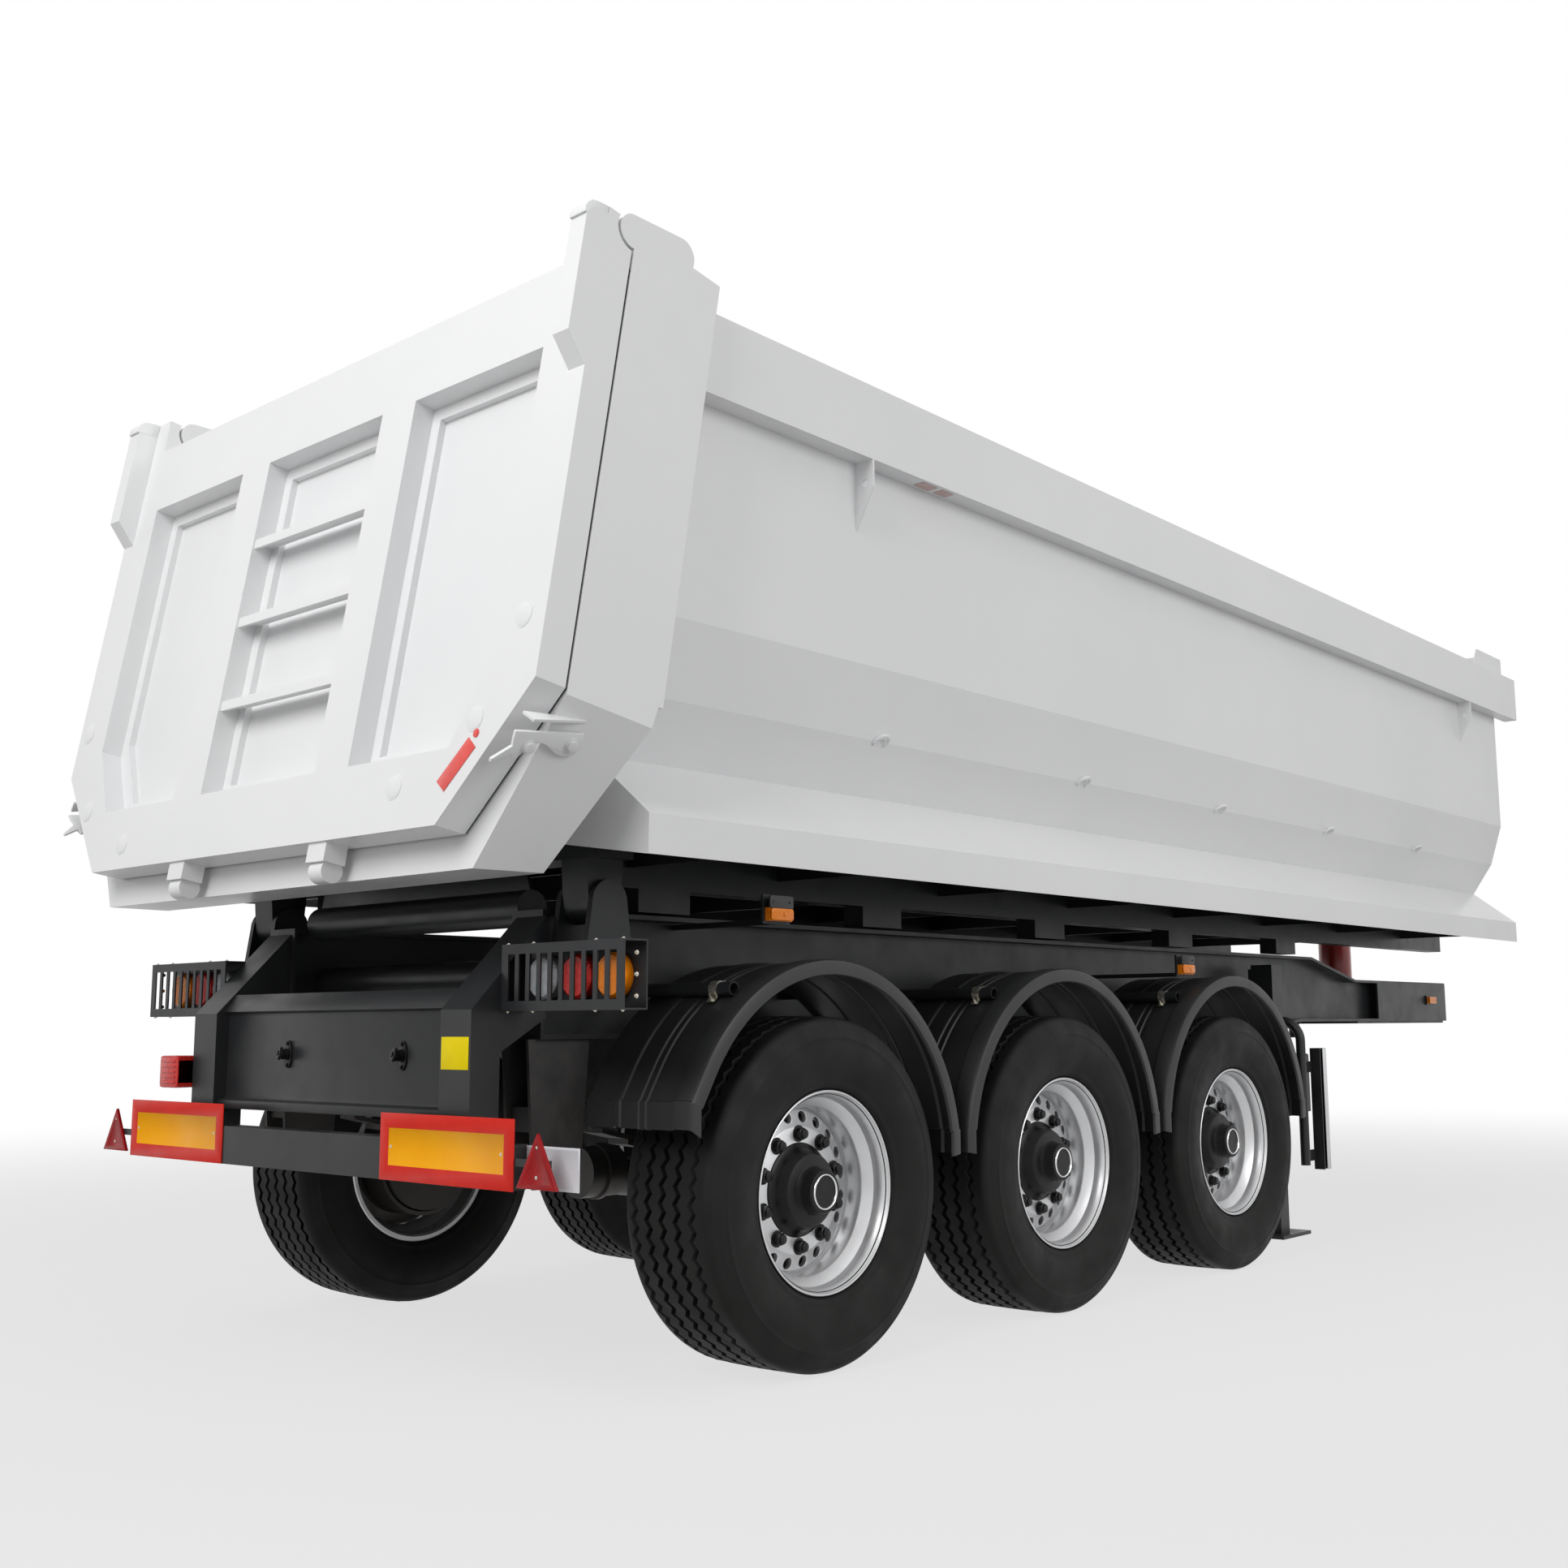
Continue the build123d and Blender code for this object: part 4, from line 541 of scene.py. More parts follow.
# Wheels
wheelLook = {
    "steps": 96,
    # y from the middle plane towards the outside, radius
    "rim": (
        (0.1500, 0.2940), (0.1500, 0.2990), (0.1530, 0.3010), (0.1572, 0.3010), (0.1588, 0.2985),
        (0.1580, 0.2955), (0.1540, 0.2940), (0.1480, 0.2900), (0.1400, 0.2830), (0.1180, 0.2800),
        (0.1120, 0.2796), (0.1070, 0.2790), (0.1020, 0.2740), (0.0820, 0.2535), (0.0760, 0.2505),
        (-0.0600, 0.2500), (-0.0680, 0.2540), (-0.0900, 0.2750), (-0.1500, 0.2790), (-0.1580, 0.2860),
        (-0.1588, 0.2990), (-0.1560, 0.3030), (-0.1500, 0.3030), (-0.1500, 0.2878), (-0.0850, 0.2850),
        (-0.0600, 0.2590), (0.0780, 0.2590), (0.1000, 0.2850), (0.1400, 0.2890),
    ),
    "disc": (
        (-0.0120, 0.2495), (0.0090, 0.2495), (0.0115, 0.2440), (0.0180, 0.2400), (0.0300, 0.2000),
        (0.0370, 0.1930), (0.0405, 0.1860), (0.0405, 0.0600), (0.0260, 0.0600), (0.0260, 0.1820),
        (0.0160, 0.2020), (0.0020, 0.2380),
    ),
    "ventCount": 20,
    "ventRadius": 0.0178,
    "ventEase": 0.0012,
    "ventCircle": 0.2190,
    "nutCount": 10,
    "nutCircle": 0.1680,
    "nutRadius": 0.0255,
    # inset, its depth and the height of the next step: washer, nut, stud
    "nutSteps": ((0.0070, 0.001, 0.016), (0.0042, 0.0025, 0.007), (0.002, 0.001, 0.0)),
    "discFace": 0.0405,
    "hub": (
        (-0.0200, 0.0000), (-0.0200, 0.1420), (0.0400, 0.1420), (0.0440, 0.1400), (0.0480, 0.1300),
        (0.0600, 0.1220), (0.0860, 0.1130), (0.0930, 0.1080), (0.0965, 0.0980), (0.0980, 0.0800),
        (0.1000, 0.0735), (0.1060, 0.0700), (0.1120, 0.0680), (0.1450, 0.0655), (0.1490, 0.0620),
        (0.1495, 0.0560), (0.1470, 0.0540), (0.1470, 0.0000),
    ),
    "ring": ((0.1478, 0.0470), (0.1512, 0.0480), (0.1528, 0.0505), (0.1512, 0.0530), (0.1478, 0.0540)),
    "drum": (
        (-0.0140, 0.1000), (-0.0140, 0.2410), (-0.0280, 0.2410), (-0.0340, 0.2080), (-0.0400, 0.2060),
        (-0.0430, 0.2020), (-0.1500, 0.2020), (-0.1540, 0.2060), (-0.1900, 0.2060), (-0.1900, 0.1920),
        (-0.0260, 0.1920), (-0.0260, 0.1000),
    ),
}


def outward(outline):
    # the right wheel's outside faces -Y
    return [(-y, radius) for y, radius in outline]


def turnSolid(outline, centre, steps, degrees):
    piece = turnProfile(outward(outline), centre, steps)
    smoothBy(piece, degrees)
    return piece


def sideways(place, radius, depth, sides):
    # a plain cylinder whose axis lies along Y
    clearSelection()
    bpy.ops.mesh.primitive_cylinder_add(vertices=sides, radius=radius, depth=depth, location=place)
    bpy.context.object.rotation_euler = (math.pi / 2, 0.0, 0.0)
    return bpy.context.object


def buildDisc(centre):
    look = wheelLook
    disc = turnSolid(look["disc"], centre, look["steps"], 40)
    cutters = []
    for number in range(look["ventCount"]):
        angle = 2 * math.pi * (number + 0.5) / look["ventCount"]
        place = centre + Vector((math.cos(angle), 0.0, math.sin(angle))) * look["ventCircle"]
        cutters.append(sideways(place, look["ventRadius"], 0.12, 24))
    cutter = joinPieces(cutters)
    pickOnly(disc)
    vents = disc.modifiers.new("vents", "BOOLEAN")
    vents.operation = "DIFFERENCE"
    vents.solver = "EXACT"
    vents.object = cutter
    bpy.ops.object.modifier_apply(modifier="vents")
    bpy.data.objects.remove(cutter)
    bevelEdges(disc, look["ventEase"], 50)
    smoothBy(disc, 40)
    return disc


def buildNuts(centre):
    look = wheelLook
    made = []
    for number in range(look["nutCount"]):
        angle = 2 * math.pi * (number + 0.5) / look["nutCount"]
        x, z = math.cos(angle) * look["nutCircle"], math.sin(angle) * look["nutCircle"]
        place = centre + Vector((x, -look["discFace"], z))
        nut = sideways(place, look["nutRadius"], 0.004, 20)
        pickFaces(nut, lambda face: face.normal.z > 0.9)
        for thickness, depth, height in look["nutSteps"]:
            bpy.ops.mesh.inset(thickness=thickness, depth=depth)
            if height:
                extrudeBy((0.0, -height, 0.0))
        bpy.ops.object.mode_set(mode="OBJECT")
        made.append(nut)
    nuts = joinPieces(made)
    smoothBy(nuts, 30)
    return nuts


def buildWheel():
    low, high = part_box("wheel_1_right")
    centre = Vector(((low.x + high.x) / 2, tyreCentre.y, (low.z + high.z) / 2))
    look = wheelLook
    rim = turnSolid(look["rim"], centre, look["steps"], 35)
    disc = buildDisc(centre)
    hub = turnSolid(look["hub"], centre, 64, 35)
    ring = turnSolid(look["ring"], centre, 64, 60)
    drum = turnSolid(look["drum"], centre, 64, 35)
    nuts = buildNuts(centre)
    return {
        "rim": (rim, "wheelSilver", "wheel_silver"),
        "disc": (disc, "wheelSilver", "wheel_silver"),
        "hub": (hub, "hubBlack", "steel_dark"),
        "ring": (ring, "trimChrome", "stage_chrome"),
        "drum": (drum, "steelDark", "steel_dark"),
        "nuts": (nuts, "hubBlack", "steel_dark"),
    }


wheelPieces = buildWheel()
wheelPieces["tyre"] = (tyre, "tyreRubber", "tyre_rubber")
for piece, _, _ in wheelPieces.values():
    pickOnly(piece)
    bpy.ops.object.transform_apply(location=True, rotation=True, scale=True)
for number in (1, 2, 3):
    for side in ("right", "left"):
        low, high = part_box(f"tyre_{number}_{side}")
        goal = (low + high) / 2
        place = Matrix.Translation(goal - tyreCentre)
        if side == "left":
            place = place @ halfTurn(tyreCentre)
        for kind, (piece, finishName, slotName) in wheelPieces.items():
            copy = ownCopy(piece, place)
            settle(copy, f"{kind}_{number}_{side}_dressed", finishName, f"wheel_{number}_{side}")
            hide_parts(f"tyre_{number}_{side}" if kind == "tyre" else f"wheel_{number}_{side}")
for piece, _, _ in wheelPieces.values():
    bpy.data.objects.remove(piece)
print("wheels and tyres on all six hubs")


# Mudguards
guardLook = {
    "radius": 0.632,
    "centreZ": 0.580,
    "sheet": 0.005,
    # y and rise above the arch, from the inner edge to the rolled outer lip
    "section": (
        (0.7750, -0.020), (0.7750, 0.0), (0.8900, 0.0), (0.8960, 0.0050), (0.9160, 0.0050), (0.9220, 0.0),
        (0.9900, 0.0), (0.9940, -0.0050), (1.0080, -0.0050), (1.0120, 0.0), (1.0200, 0.0), (1.0240, -0.0050),
        (1.0380, -0.0050), (1.0420, 0.0), (1.1320, 0.0), (1.1400, 0.0080), (1.1980, 0.0080), (1.2080, 0.0040),
        (1.2118, -0.0040), (1.2118, -0.0380), (1.2040, -0.0420),
    ),
    "frontAngle": 9.1,
    "rearAngle": 170.9,
    "lastAngle": 150.0,
    "lastDrop": (-0.047, 0.0, -0.081),
    "hemOut": 0.006,
    "hemStep": 0.003,
    "hemHeight": 0.080,
}


def hem(look, way):
    # the selected end steps out and hangs straight down
    step = look["hemStep"]
    for move in ((way * look["hemOut"], 0.0, -step), (0.0, 0.0, step - look["hemHeight"])):
        extrudeBy(move)


def buildGuard(look, axleX, isLast):
    # the pressed section stands at the front end and is spun back over the wheel
    start = math.radians(look["frontAngle"])
    stop = math.radians(look["lastAngle"] if isLast else look["rearAngle"])
    points = []
    for y, rise in look["section"]:
        radius = look["radius"] + rise
        points.append((axleX + radius * math.cos(start), -y, look["centreZ"] + radius * math.sin(start)))
    guard = drawLine(points, False)
    centre = (axleX, 0.0, look["centreZ"])
    bpy.ops.mesh.spin(steps=44, angle=stop - start, center=centre, axis=(0.0, 1.0, 0.0))
    if isLast:
        extrudeBy(look["lastDrop"])
    hem(look, -1.0)

    def atFront(place):
        spot = place - Vector(centre)
        return spot.x > 0 and abs(math.atan2(spot.z, spot.x) - start) < 0.002

    pickVertices(guard, atFront)
    hem(look, 1.0)
    closeMesh()
    thicken(guard, look["sheet"], -1.0)
    smoothBy(guard, 28)
    return guard


axlePlaces = []
for number in (1, 2, 3):
    low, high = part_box(f"tyre_{number}_right")
    axlePlaces.append((low.x + high.x) / 2)
rightGuards = [buildGuard(guardLook, place, number == 0) for number, place in enumerate(axlePlaces)]
leftGuards = [mirrorSide(guard) for guard in rightGuards]
for side, guards in (("right", rightGuards), ("left", leftGuards)):
    for number, guard in enumerate(guards):
        settle(guard, f"mudguard_{side}_{number + 1}", "guardBlack", "chassis")
        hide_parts(f"mudguards_{side}")
print("mudguards pressed")


# Clamps of the mudguard tubes
clampLook = {
    "y": -1.062,
    "tubeRadius": 0.021,
    "strap": 0.003,
    "width": 0.030,
    "angles": (57.0, 123.0),
    "foot": 0.026,
    "footZ": -0.016,
    "boltAt": 0.015,
}


def buildClamp(look):
    # strap over the tube, its two feet and their bolts, around the origin
    inner, outer, half = look["tubeRadius"] + 0.0005, look["tubeRadius"] + look["strap"], look["width"] / 2
    strap = drawLine([(inner, -half, 0.0), (outer, -half, 0.0), (outer, half, 0.0), (inner, half, 0.0)], True)
    bpy.ops.mesh.spin(steps=18, angle=math.pi, center=(0.0, 0.0, 0.0), axis=(0.0, 1.0, 0.0))
    closeMesh()
    smoothBy(strap, 40)
    parts = [strap]
    for side in (1.0, -1.0):
        for reach, height, ease in ((look["foot"], 0.004, 0.0008), (look["strap"], 0.018, 0.0005)):
            x0, x1 = side * inner, side * (inner + reach)
            corners = [(x, y, look["footZ"]) for x, y in ((x0, -half), (x1, -half), (x1, half), (x0, half))]
            parts.append(cutPlate(corners, (0.0, 0.0, height), ease))
        place = (side * (inner + look["boltAt"]), 0.0, look["footZ"] + 0.004)
        parts.append(knob(place, (0, 0, 1), 6, ((0.0085, 0.007), (0.0045, 0.012))))
    return joinPieces(parts)


clamp = buildClamp(clampLook)
clamps = []
for place in axlePlaces:
    for angle in clampLook["angles"]:
        turn = math.radians(angle)
        reach = guardLook["radius"] + clampLook["tubeRadius"]
        x, z = place + reach * math.cos(turn), guardLook["centreZ"] + reach * math.sin(turn)
        lean = Matrix.Translation((x, clampLook["y"], z)) @ Matrix.Rotation(math.pi / 2 - turn, 4, "Y")
        clamps.append(ownCopy(clamp, lean))
bpy.data.objects.remove(clamp)
rightClamps = joinPieces(clamps)
leftClamps = mirrorSide(rightClamps)
settle(rightClamps, "tube_clamps_right", "zincSteel", "chassis")
settle(leftClamps, "tube_clamps_left", "zincSteel", "chassis")
print("tube clamps in place")


# Rear boards, number plate and triangles
boardLook = {
    "rearX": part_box("marker_boards")[0].x,
    "innerY": 0.430,
    "outerY": 1.025,
    "bottom": 0.600,
    "top": 0.785,
    "thick": 0.004,
    "set": 0.0003,
    "ease": 0.0008,
    "frame": 0.040,
    "rivetInset": 0.052,
    "rivet": ((0.0048, 0.0016), (0.003, 0.0004)),
}


def buildBoard(look, side):
    y0, y1 = side * look["innerY"], side * look["outerY"]
    spots = rectangle(y0, y1, look["bottom"], look["top"])
    board = rearPlate(look["rearX"] + look["thick"], spots, look["thick"] - look["set"], look["ease"])
    board.data.materials.append(finishes["boardRed"])
    board.data.materials.append(finishes["boardYellow"])
    insetRear(board, ((look["frame"], 0.0), (0.0004, -0.0006)))
    return board


rivets = []
for side, sideName in ((-1.0, "right"), (1.0, "left")):
    board = buildBoard(boardLook, side)
    settle(board, f"marker_board_{sideName}", None, "chassis")
    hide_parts("marker_boards")
    middleZ = (boardLook["bottom"] + boardLook["top"]) / 2
    for y in (boardLook["innerY"] + boardLook["rivetInset"], boardLook["outerY"] - boardLook["rivetInset"]):
        place = (boardLook["rearX"] + 0.002, side * y, middleZ)
        rivets.append(knob(place, (-1, 0, 0), 16, boardLook["rivet"]))
settle(joinPieces(rivets), "board_rivets", "zincSteel", "chassis")

plateLook = {
    "x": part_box("marker_boards")[1].x,
    "spots": rectangle(-1.210, -0.750, 0.603, 0.714),
    "thick": 0.003,
    "ease": 0.001,
    # inset and depth: plain border, then the pressed edge
    "steps": ((0.005, 0.0), (0.0015, -0.0008)),
}
plate = rearPlate(plateLook["x"], plateLook["spots"], plateLook["thick"], plateLook["ease"])
insetRear(plate, plateLook["steps"])
settle(plate, "number_plate_blank", "plateWhite", "chassis")
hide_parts("marker_boards")

triangleLook = {
    "y": 1.125,
    "bottom": 0.612,
    "height": 0.140,
    "ease": 0.0012,
    # inset and depth: the rim, then the step to the lens
    "steps": ((0.012, 0.0), (0.001, -0.0014)),
    # height over the base and the steps of each screw
    "screws": ((0.03, ((0.005, 0.0008), (0.0035, 0.0004))), (0.105, ((0.004, 0.0008), (0.003, 0.0004)))),
}


def buildTriangle(look, side):
    low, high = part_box("warning_triangles")
    half = look["height"] * math.tan(math.radians(30))
    y, z = side * look["y"], look["bottom"]
    spots = ((y - half, z), (y + half, z), (y, z + look["height"]))
    triangle = rearPlate(high.x, spots, high.x - low.x - 0.0004, look["ease"])
    insetRear(triangle, look["steps"])
    screws = [knob((low.x + 0.0015, y, z + rise), (-1, 0, 0), 12, steps) for rise, steps in look["screws"]]
    return triangle, joinPieces(screws)


for side, sideName in ((-1.0, "right"), (1.0, "left")):
    triangle, screws = buildTriangle(triangleLook, side)
    settle(triangle, f"triangle_{sideName}", "triangleRed", "chassis")
    settle(screws, f"triangle_screws_{sideName}", "zincSteel", "chassis")
    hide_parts("warning_triangles")
print("boards, plate and triangles fitted, all blank")


# Rear panel with its two couplings
panelLook = {
    # x, z down the folded sheet, from the top lip to the ledge above the bumper
    "fold": (
        (-3.6180, 1.0950), (-3.6400, 1.1300), (-3.6760, 1.0760), (-3.6620, 1.0700), (-3.6590, 1.0600),
        (-3.6590, 0.8120), (-3.6640, 0.7960), (-3.6880, 0.7900), (-3.6880, 0.7660), (-3.6500, 0.7660),
    ),
    "halfWidth": 0.6095,
    "sheet": 0.004,
    "couplings": (-0.377, 0.236),
    "couplingX": -3.661,
    "couplingZ": 0.940,
    "flange": (0.021, 0.043),
    "neck": ((0.018, 0.010), (0.015, 0.012), (0.012, 0.004)),
    "cap": ((0.021, 0.006), (0.018, 0.003), (0.008, 0.003)),
    "capAxis": (-0.96, 0.2, 0.2),
    "screw": ((0.0065, 0.004), (0.004, 0.002)),
    "screwRise": 0.034,
}


def buildPanel(look):
    panel = drawLine([(x, -look["halfWidth"], z) for x, z in look["fold"]], False)
    extrudeBy((0.0, 2 * look["halfWidth"], 0.0))
    closeMesh()
    thicken(panel, look["sheet"], 0.0)
    easeEdges(panel, 0.0015, 25)
    return panel


def buildCoupling(look, y):
    # oval flange with two screws, neck and tilted cap
    x, z = look["couplingX"], look["couplingZ"]
    flange = []
    for number in range(24):
        turn = 2 * math.pi * number / 24
        flange.append((y + look["flange"][0] * math.cos(turn), z + look["flange"][1] * math.sin(turn)))
    parts = [
        rearPlate(x, flange, 0.006, 0.0015),
        knob((x - 0.005, y, z), (-1, 0, 0), 24, look["neck"]),
        knob((x - 0.026, y + 0.006, z + 0.003), look["capAxis"], 24, look["cap"]),
    ]
    for rise in (look["screwRise"], -look["screwRise"]):
        parts.append(knob((x - 0.006, y, z + rise), (-1, 0, 0), 6, look["screw"]))
    return joinPieces(parts)


panel = settle(buildPanel(panelLook), "rear_panel_folded", "chassisBlack", "chassis")
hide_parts("rear_panel")
couplings = [buildCoupling(panelLook, y) for y in panelLook["couplings"]]
settle(joinPieces(couplings), "air_couplings", "hubBlack", "chassis")

stickerLook = {
    "x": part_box("rear_uprights")[0].x,
    "spots": rectangle(-0.742, -0.618, 0.905, 0.995),
    "thick": 0.0012,
    "ease": 0.0004,
}
sticker = rearPlate(stickerLook["x"], stickerLook["spots"], stickerLook["thick"], stickerLook["ease"])
settle(sticker, "upright_sticker", "stickerYellow", "chassis")
print("rear panel, couplings and sticker done")


# Gate trim: plug discs, reflector, and a black strip in the gate's gap as painted shade
gateLook = {
    "lean": math.radians(9.43),
    "refX": -3.9092,
    "refZ": 2.0,
    "topZ": 3.113,
    "bottomZ": 1.539,
    "chamferZ": 1.894,
    "halfWidth": 1.275,
    "bottomHalf": 0.950,
    "depth": 0.098,
    # set, depth and width of the black strip at the back of the gate's gap, which is painted shade
    "gapShadeSet": 0.0012,
    "gapShadeDeep": 0.0056,
    "gapShadeWide": 0.03,
    # y, z of the welded plug discs on the rear face
    "plugs": (
        (-1.184, 2.074), (-1.048, 1.813), (-0.734, 1.661), (0.780, 1.623), (1.213, 2.050), (1.087, 1.760),
    ),
    "plugRadius": 0.036,
    # y, z of the red reflector's corners
    "reflector": ((-1.038, 1.763), (-1.073, 1.733), (-0.967, 1.626), (-0.929, 1.656)),
    "dot": (-1.066, 1.771),
}


def onGate(y, z, proud):
    # a point over the gate's leaning rear face
    x = gateLook["refX"] + math.tan(gateLook["lean"]) * (z - gateLook["refZ"])
    return Vector((x, y, z)) + gateBack * proud


gateBack = Vector((-math.cos(gateLook["lean"]), 0.0, math.sin(gateLook["lean"])))
plugs = []
for y, z in gateLook["plugs"]:
    radius = gateLook["plugRadius"]
    plugs.append(knob(onGate(y, z, -0.0002), gateBack, 40, ((radius, 0.0016), (radius - 0.004, 0.0004))))
settle(joinPieces(plugs), "gate_plug_discs", "bodyWhite", "gate")
reflector = cutPlate([onGate(y, z, 0.0002) for y, z in gateLook["reflector"]], gateBack * 0.0022, 0.0006)
dot = knob(onGate(*gateLook["dot"], 0.0002), gateBack, 20, ((0.012, 0.0018), (0.009, 0.0005)))
settle(joinPieces([reflector, dot]), "gate_reflector", "reflexRed", "gate")


def buildGapShade(look):
    # a black strip at the back of the gap between the gate and its frame: painted shade that darkens the gap
    side = look["halfWidth"] - 0.004
    outline = [(side, look["topZ"] - 0.01), (side, look["chamferZ"])]
    outline.append((look["bottomHalf"] - 0.003, look["bottomZ"] + 0.004))
    outline += [(-y, z) for y, z in reversed(outline)]
    gapShade = drawLine([onGate(y, z, -look["depth"] - look["gapShadeSet"]) for y, z in outline], False)
    extrudeBy(gateBack * -look["gapShadeDeep"])
    closeMesh()
    thicken(gapShade, look["gapShadeWide"], -1.0)
    easeEdges(gapShade, 0.001, 40)
    return gapShade


settle(buildGapShade(gateLook), "gate_gap_shade", "hubBlack", "bed")
print("gate trim done")


# Latches beside the gate
latchLook = {
    "face": (0.0, -1.2045, 1.770),   # a point on the frame's sloping face
    "out": (0.0, -0.811, -0.586),
    "up": (0.0, -0.586, 0.811),
    # x and height up the slope of the lever's outline
    "lever": (
        (-3.738, 0.026), (-3.730, 0.006), (-3.732, -0.018), (-3.744, -0.040), (-3.770, -0.046),
        (-3.800, -0.042), (-3.840, -0.022), (-3.862, -0.018), (-3.884, -0.026), (-3.897, -0.044),
        (-3.914, -0.074), (-3.924, -0.078), (-3.934, -0.062), (-3.984, -0.092), (-3.986, -0.082),
        (-3.940, -0.038), (-3.946, -0.018), (-3.950, 0.004),
    ),
    "leverStand": 0.020,
    "leverThick": 0.010,
    # x, height and stand of the corners of the cross bar, x and height of the foot plate's
    "bar": ((-3.932, 0.042, 0.002), (-3.924, 0.042, 0.046), (-3.738, 0.050, 0.016), (-3.730, 0.050, 0.002)),
    "foot": ((-3.795, -0.045), (-3.715, -0.045), (-3.715, 0.030), (-3.795, 0.030)),
    "bolts": ((-3.764, -0.010), (-3.893, -0.034)),
    "boltHead": ((0.019, 0.004), (0.015, 0.007)),
}


def buildLatch(look):
    face, out, up = Vector(look["face"]), Vector(look["out"]), Vector(look["up"])

    def spot(x, height, stand):
        return Vector((x, 0.0, 0.0)) + face + up * height + out * stand

    stand = look["leverStand"]
    outline = [spot(x, height, stand) for x, height in look["lever"]]
    lever = cutPlate(outline, out * look["leverThick"], 0.0015)
    parts = [lever, cutPlate([spot(*corner) for corner in look["bar"]], up * 0.009, 0.0012)]
    parts.append(cutPlate([spot(x, height, 0.0) for x, height in look["foot"]], out * 0.010, 0.002))
    for x, height in look["bolts"]:
        parts.append(knob(spot(x, height, 0.004), out, 24, ((0.016, stand),)))
        parts.append(knob(spot(x, height, stand + look["leverThick"]), out, 20, look["boltHead"]))
    return joinPieces(parts)


rightLatch = buildLatch(latchLook)
leftLatch = mirrorSide(rightLatch)
for latch, sideName in ((rightLatch, "right"), (leftLatch, "left")):
    settle(latch, f"gate_latch_{sideName}", "bodyWhite", "bed")
    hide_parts("gate_latches")
print("latches hung")


# Rope hooks
hookLook = {
    # the rearmost axle, and how far in front of it each hook sits
    "axleX": -2.7042,
    "places": (-0.725, 0.390, 1.650, 2.780, 3.920, 5.060),
    "y": 1.0865,
    "z": 1.956,
    "radius": 0.028,
    "wire": 0.0075,
    "leg": 0.012,
    "tilt": 56.0,
}


def buildHook(look):
    # a bent rod: half a ring over two short legs, tilted away from the fold
    ring = []
    for number in range(10):
        turn = 2 * math.pi * number / 10
        x, y = look["radius"] + look["wire"] * math.cos(turn), look["wire"] * math.sin(turn)
        ring.append((x, y, -look["leg"]))
    hook = drawLine(ring, True)
    extrudeBy((0.0, 0.0, look["leg"]))
    bpy.ops.mesh.spin(steps=16, angle=math.pi, center=(0.0, 0.0, 0.0), axis=(0.0, 1.0, 0.0))
    extrudeBy((0.0, 0.0, -look["leg"]))
    bpy.ops.mesh.select_all(action="SELECT")
    bpy.ops.mesh.remove_doubles(threshold=0.00005)
    closeMesh()
    smoothBy(hook, 50)
    return hook


hook = buildHook(hookLook)
rightHooks = []
for place in hookLook["places"]:
    spot = Vector((hookLook["axleX"] + place, -hookLook["y"], hookLook["z"]))
    tilt = Matrix.Translation(spot) @ Matrix.Rotation(math.radians(hookLook["tilt"]), 4, "X")
    rightHooks.append(ownCopy(hook, tilt))
bpy.data.objects.remove(hook)
rightHooks = joinPieces(rightHooks)
leftHooks = mirrorSide(rightHooks)
for hooks, sideName in ((rightHooks, "right"), (leftHooks, "left")):
    settle(hooks, f"rope_hooks_{sideName}", "bodyWhite", "bed")
    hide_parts("rope_hooks")
print("rope hooks bent")


# Caps that close the gate arms' tops
armLook = {
    "outline": (
        (-3.7900, 3.1900), (-3.7870, 3.2080), (-3.7780, 3.2220), (-3.7640, 3.2330), (-3.7450, 3.2370),
        (-3.7040, 3.2370), (-3.7080, 3.2150), (-3.7150, 3.1900),
    ),
    "outerY": 1.2748,
    "width": 0.066,
    "ease": 0.0025,
}
capPoints = [(x, -armLook["outerY"], z) for x, z in armLook["outline"]]
rightCap = cutPlate(capPoints, (0.0, armLook["width"], 0.0), armLook["ease"])
settle(mirrorSide(rightCap), "arm_cap_left", "bodyWhite", "gate")
settle(rightCap, "arm_cap_right", "bodyWhite", "gate")


# Cross tube and web at the tip pivots
pivotLook = {
    "x": -3.354,
    "z": 1.375,
    "radius": 0.056,
    "half": 0.570,
    "webFoot": 0.04,
    "webTop": 1.560,
    "webInset": 0.05,
    "webThick": 0.012,
}


def buildCrossTube(look):
    place = (look["x"], -look["half"], look["z"])
    tube = knob(place, (0, 1, 0), 40, ((look["radius"], 2 * look["half"]),))
    x, foot, top = look["x"] - look["webThick"] / 2, look["z"] + look["webFoot"], look["webTop"]
    wide, narrow = look["half"], look["half"] - look["webInset"]
    corners = [(x, -wide, foot), (x, wide, foot), (x, narrow, top), (x, -narrow, top)]
    web = cutPlate(corners, (look["webThick"], 0.0, 0.0), 0.002)
    return joinPieces([tube, web])


settle(buildCrossTube(pivotLook), "pivot_cross_tube", "chassisBlack", "bed")


# Ribbed rear fog lamp, side marker plates and lamp guard bolts
fogLook = {
    "x": -3.747,
    "y": 0.830,
    "z": 0.880,
    "halfY": 0.060,
    "halfZ": 0.053,
    "corner": 0.016,
    "depth": 0.0660,
    "ribs": 5,
    "ribPitch": 0.017,
}
markerLook = {
    "places": ((-2.8542, 1.352), (-0.3442, 1.242)),
    "faceY": -1.1300,
    # half width, half height and corner of the backing plate and of the lens
    "back": (0.052, 0.019, 0.006),
    "lens": (0.049, 0.018, 0.008),
    "backRise": 0.037,
    "screwX": 0.036,
}
boltLook = {
    "topX": -3.592,
    "topY": (0.765, 0.875, 1.135, 1.243),
    "topZ": ((1.0665, -1), (1.2475, 1)),   # height and the way the head looks
    "sideX": -3.560,
    "sideY": 1.2565,
    "sideZ": (1.10, 1.157, 1.214),
    "head": ((0.0065, 0.004), (0.0038, 0.003)),
}


